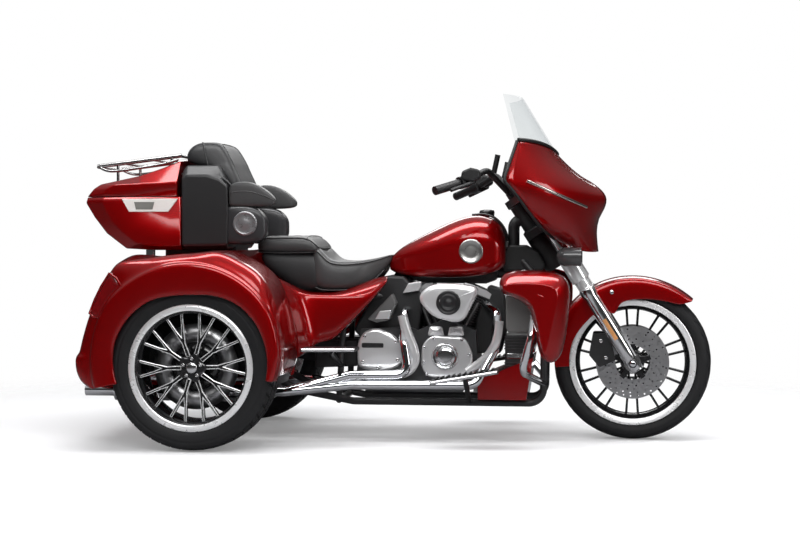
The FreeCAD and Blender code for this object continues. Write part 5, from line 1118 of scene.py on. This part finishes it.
# Steering neck: black moulded covers over the headstock ahead of the tank. A tube closes the steering head
# between the fork clamps.
neck = [(1168, 691), (1330, 691), (1345, 712), (1318, 768), (1264, 798), (1196, 798), (1176, 777)]
side_prisms("neck_cover", [neck], -52, 52, dark_plastic, "black_paint", bevel=8)
neck_foot, neck_up = at(1392, 0, 704), (at(1287, 0, 872) - at(1392, 0, 704)).normalized()
neck_across = neck_up.cross(Vector((0, 1, 0)))
tube = [[neck_foot + neck_up * up + neck_across * a + Vector((0, b, 0)) for a, b in circle(reach, 32)]
    for up, reach in ((0, 0.04), (0.002, 0.047), (0.19, 0.047), (0.196, 0.04))]
piece("headstock_cover", *skin(tube), dark_plastic, "black_paint")

# Switch housings and mirror stems: black castings clamped round the handlebar, and bent black tubes that carry
# the mirrors on the fairing.
housing = [(1022, 1056), (1028, 1090), (1062, 1104), (1096, 1096), (1102, 1064), (1072, 1046)]
for side_name, side in sides:
    side_prisms(f"switch_housing_{side_name}", [housing], *flank(side, 338, 396), dark_plastic, "black_paint", "steering",
        bevel=8)
    stem = [at(1150, side * 330, 1084), at(1158, side * 334, 1118), at(1166, side * 336, 1156)]
    pipe_of(f"mirror_stem_{side_name}", stem, 11, dark_plastic, "steering")

# Front fender: candy red, close round the tyre, with deep side skirts that run down behind the wheel. It is
# bolted to the inside of the fork legs.
skirt_edge = [(47, 344), (49, 322), (52, 300), (60, 286), (70, 273), (80, 264), (90, 258), (98, 254), (103, 246), (108, 222),
    (111, 212), (114, 218), (118, 246), (124, 254), (137, 252), (150, 256), (161, 261), (184, 260)]
outer_edge = [(47, 347), (52, 346), (120, 345), (140, 342), (150, 337), (160, 330), (170, 324), (184, 316)]
opening = [(47, 0.0), (146, 0.0), (153, 0.5), (160, 0.9), (166, 1.0), (190, 1.0)]


def round_wheel(angle, reach, across):
    """A place by its angle and distance round the front fender's centre, just ahead of the axle."""
    angle = math.radians(angle)
    return at(front_x + 3 + reach * math.cos(angle), across, front_up + reach * math.sin(angle))


front_rows = []
for share, across, lift in ((0.0, 84, 0), (0.05, 85, 0), (0.5, 85, 0), (0.86, 83.5, 0), (0.97, 76, 0), (1.0, 58, 3),
        (1.0, 30, 7), (1.0, 0, 8)):
    row = []
    for angle in (47, 48, 50, 53, 57, 63, 70, 78, 86, 94, 100, 104, 108, 111, 114, 118, 123, 130, 138, 146, 152, 158, 164,
            170, 177, 182, 184):
        inner, outer, gap = along(skirt_edge, angle), along(outer_edge, angle), along(opening, angle)
        reach = inner + (outer - inner) * share + lift * (1 - gap)
        row.append(round_wheel(angle, reach, -(across + (84 - across) * gap)))
    front_rows.append(row)
sheet_of("front_fender_shell", front_rows, candy_red, "red_paint", "steering", "front_fender", mirror="joined", thick=3,
    creases=[(0, 0.3), (4, 0.35)])
for side_name, side in sides:
    for index, (angle, reach) in enumerate(((107, 300), (121, 318))):
        x, y, z = round_wheel(angle, reach, side * 85) * 1000
        turned(f"front_fender_bolt_{side_name}_{index}", (x + 730, y, z), [(-4, 9), (8, 9), (9, 8), (9, 1)], chrome, "chrome",
            "steering", 12, side=side)

# Lower fairings: moulded red shells bolted behind the engine guard that shield the rider's legs, with a grey
# panel inside each.
lower_outline = [(1176, 698), (1300, 697), (1398, 692), (1458, 656), (1438, 492), (1417, 333), (1340, 338), (1322, 430),
    (1302, 546), (1264, 580), (1216, 600), (1174, 612)]
lower_panel = [(1192, 652), (1300, 652), (1374, 648), (1416, 618), (1384, 500), (1360, 376), (1352, 378), (1338, 440),
    (1320, 562), (1276, 600), (1226, 616), (1192, 624)]
lower_rows = [[at(x + (inner_x - x) * share, -across, z + (inner_z - z) * share)
    for (x, z), (inner_x, inner_z) in zip(lower_outline, lower_panel)]
    for across, share in ((302, -0.04), (306, 0.0), (392, 0.0), (424, 0.25), (446, 0.8), (454, 1.0), (455, 1.08))]
lower_rows.append([p.lerp(at(1362, -455, 612), 0.85) for p in lower_rows[-1]])
sheet_of("lower_fairing_shells", lower_rows, candy_red, stands_for="lower_fairings", mirror="apart", thick=4,
    creases=[(2, 0.45), (5, 0.35)], loop=True, cap=True)
liner_grey = finish("liner_grey", (0.1, 0.098, 0.096), 0.45, depth=0.2, scale=8, pimples=(500, 0.0003))
inner_panel = [(1196, 640), (1300, 620), (1330, 560), (1334, 464), (1312, 454), (1204, 452), (1196, 470)]
for side_name, side in sides:
    side_prisms(f"leg_panel_{side_name}", [inner_panel], *flank(side, 286, 304), liner_grey, "black_paint", bevel=6)

# Oil cooler: a black finned aluminium block clamped between the frame's front tubes, with a bright strip
# across it.
side_prisms("oil_cooler", [[(1182, 280), (1284, 280), (1288, 432), (1182, 432)]], -118, 118, engine_black, "black_paint",
    bevel=6)
fin_bars = [[(1179, z), (1291, z), (1291, z + 4), (1179, z + 4)] for z in (*range(290, 326, 12), *range(372, 430, 12))]
side_prisms("oil_cooler_fins", fin_bars, -122, 122, fin_black, "fin_black", bevel=1)
strip = [(1188, 334), (1280, 334), (1280, 356), (1188, 356)]
side_prisms("oil_cooler_strip", [strip], -124, 124, polished, "silver", bevel=3)

# Chin panel, tank, engine guard and boards: pressed red panels, a chromed steel tube and cast boards with
# polished edge strips and ribbed rubber pads.
dress(candy_red, "red_paint", "chin_panel", "fuel_tank")
soften(nodes["chin_panel"], 16, 4)
dress(chrome, "chrome", "engine_guard")
dress(dark_plastic, "black_rubber", "footboards")


def board_top(x, lift=0):
    """A point in the side view on the rider's sloping board."""
    return x, 268 + lift + (x - 908) * 0.172


for side_name, side in sides:
    for label, line in (
            ("rider", ((912, 260), (1040, 282), (1172, 305))), ("passenger", ((400, 385), (500, 386), (610, 387)))):
        pipe_of(f"{label}_board_edge_{side_name}", [at(x, side * 456, z) for x, z in line], 7.5, polished)
    ribs = [[board_top(x), board_top(x + 9), board_top(x + 9, 5), board_top(x, 5)] for x in range(925, 1165, 22)]
    side_prisms(f"board_pad_{side_name}", ribs, *flank(side, 345, 440), rubber, "black_rubber", bevel=1)
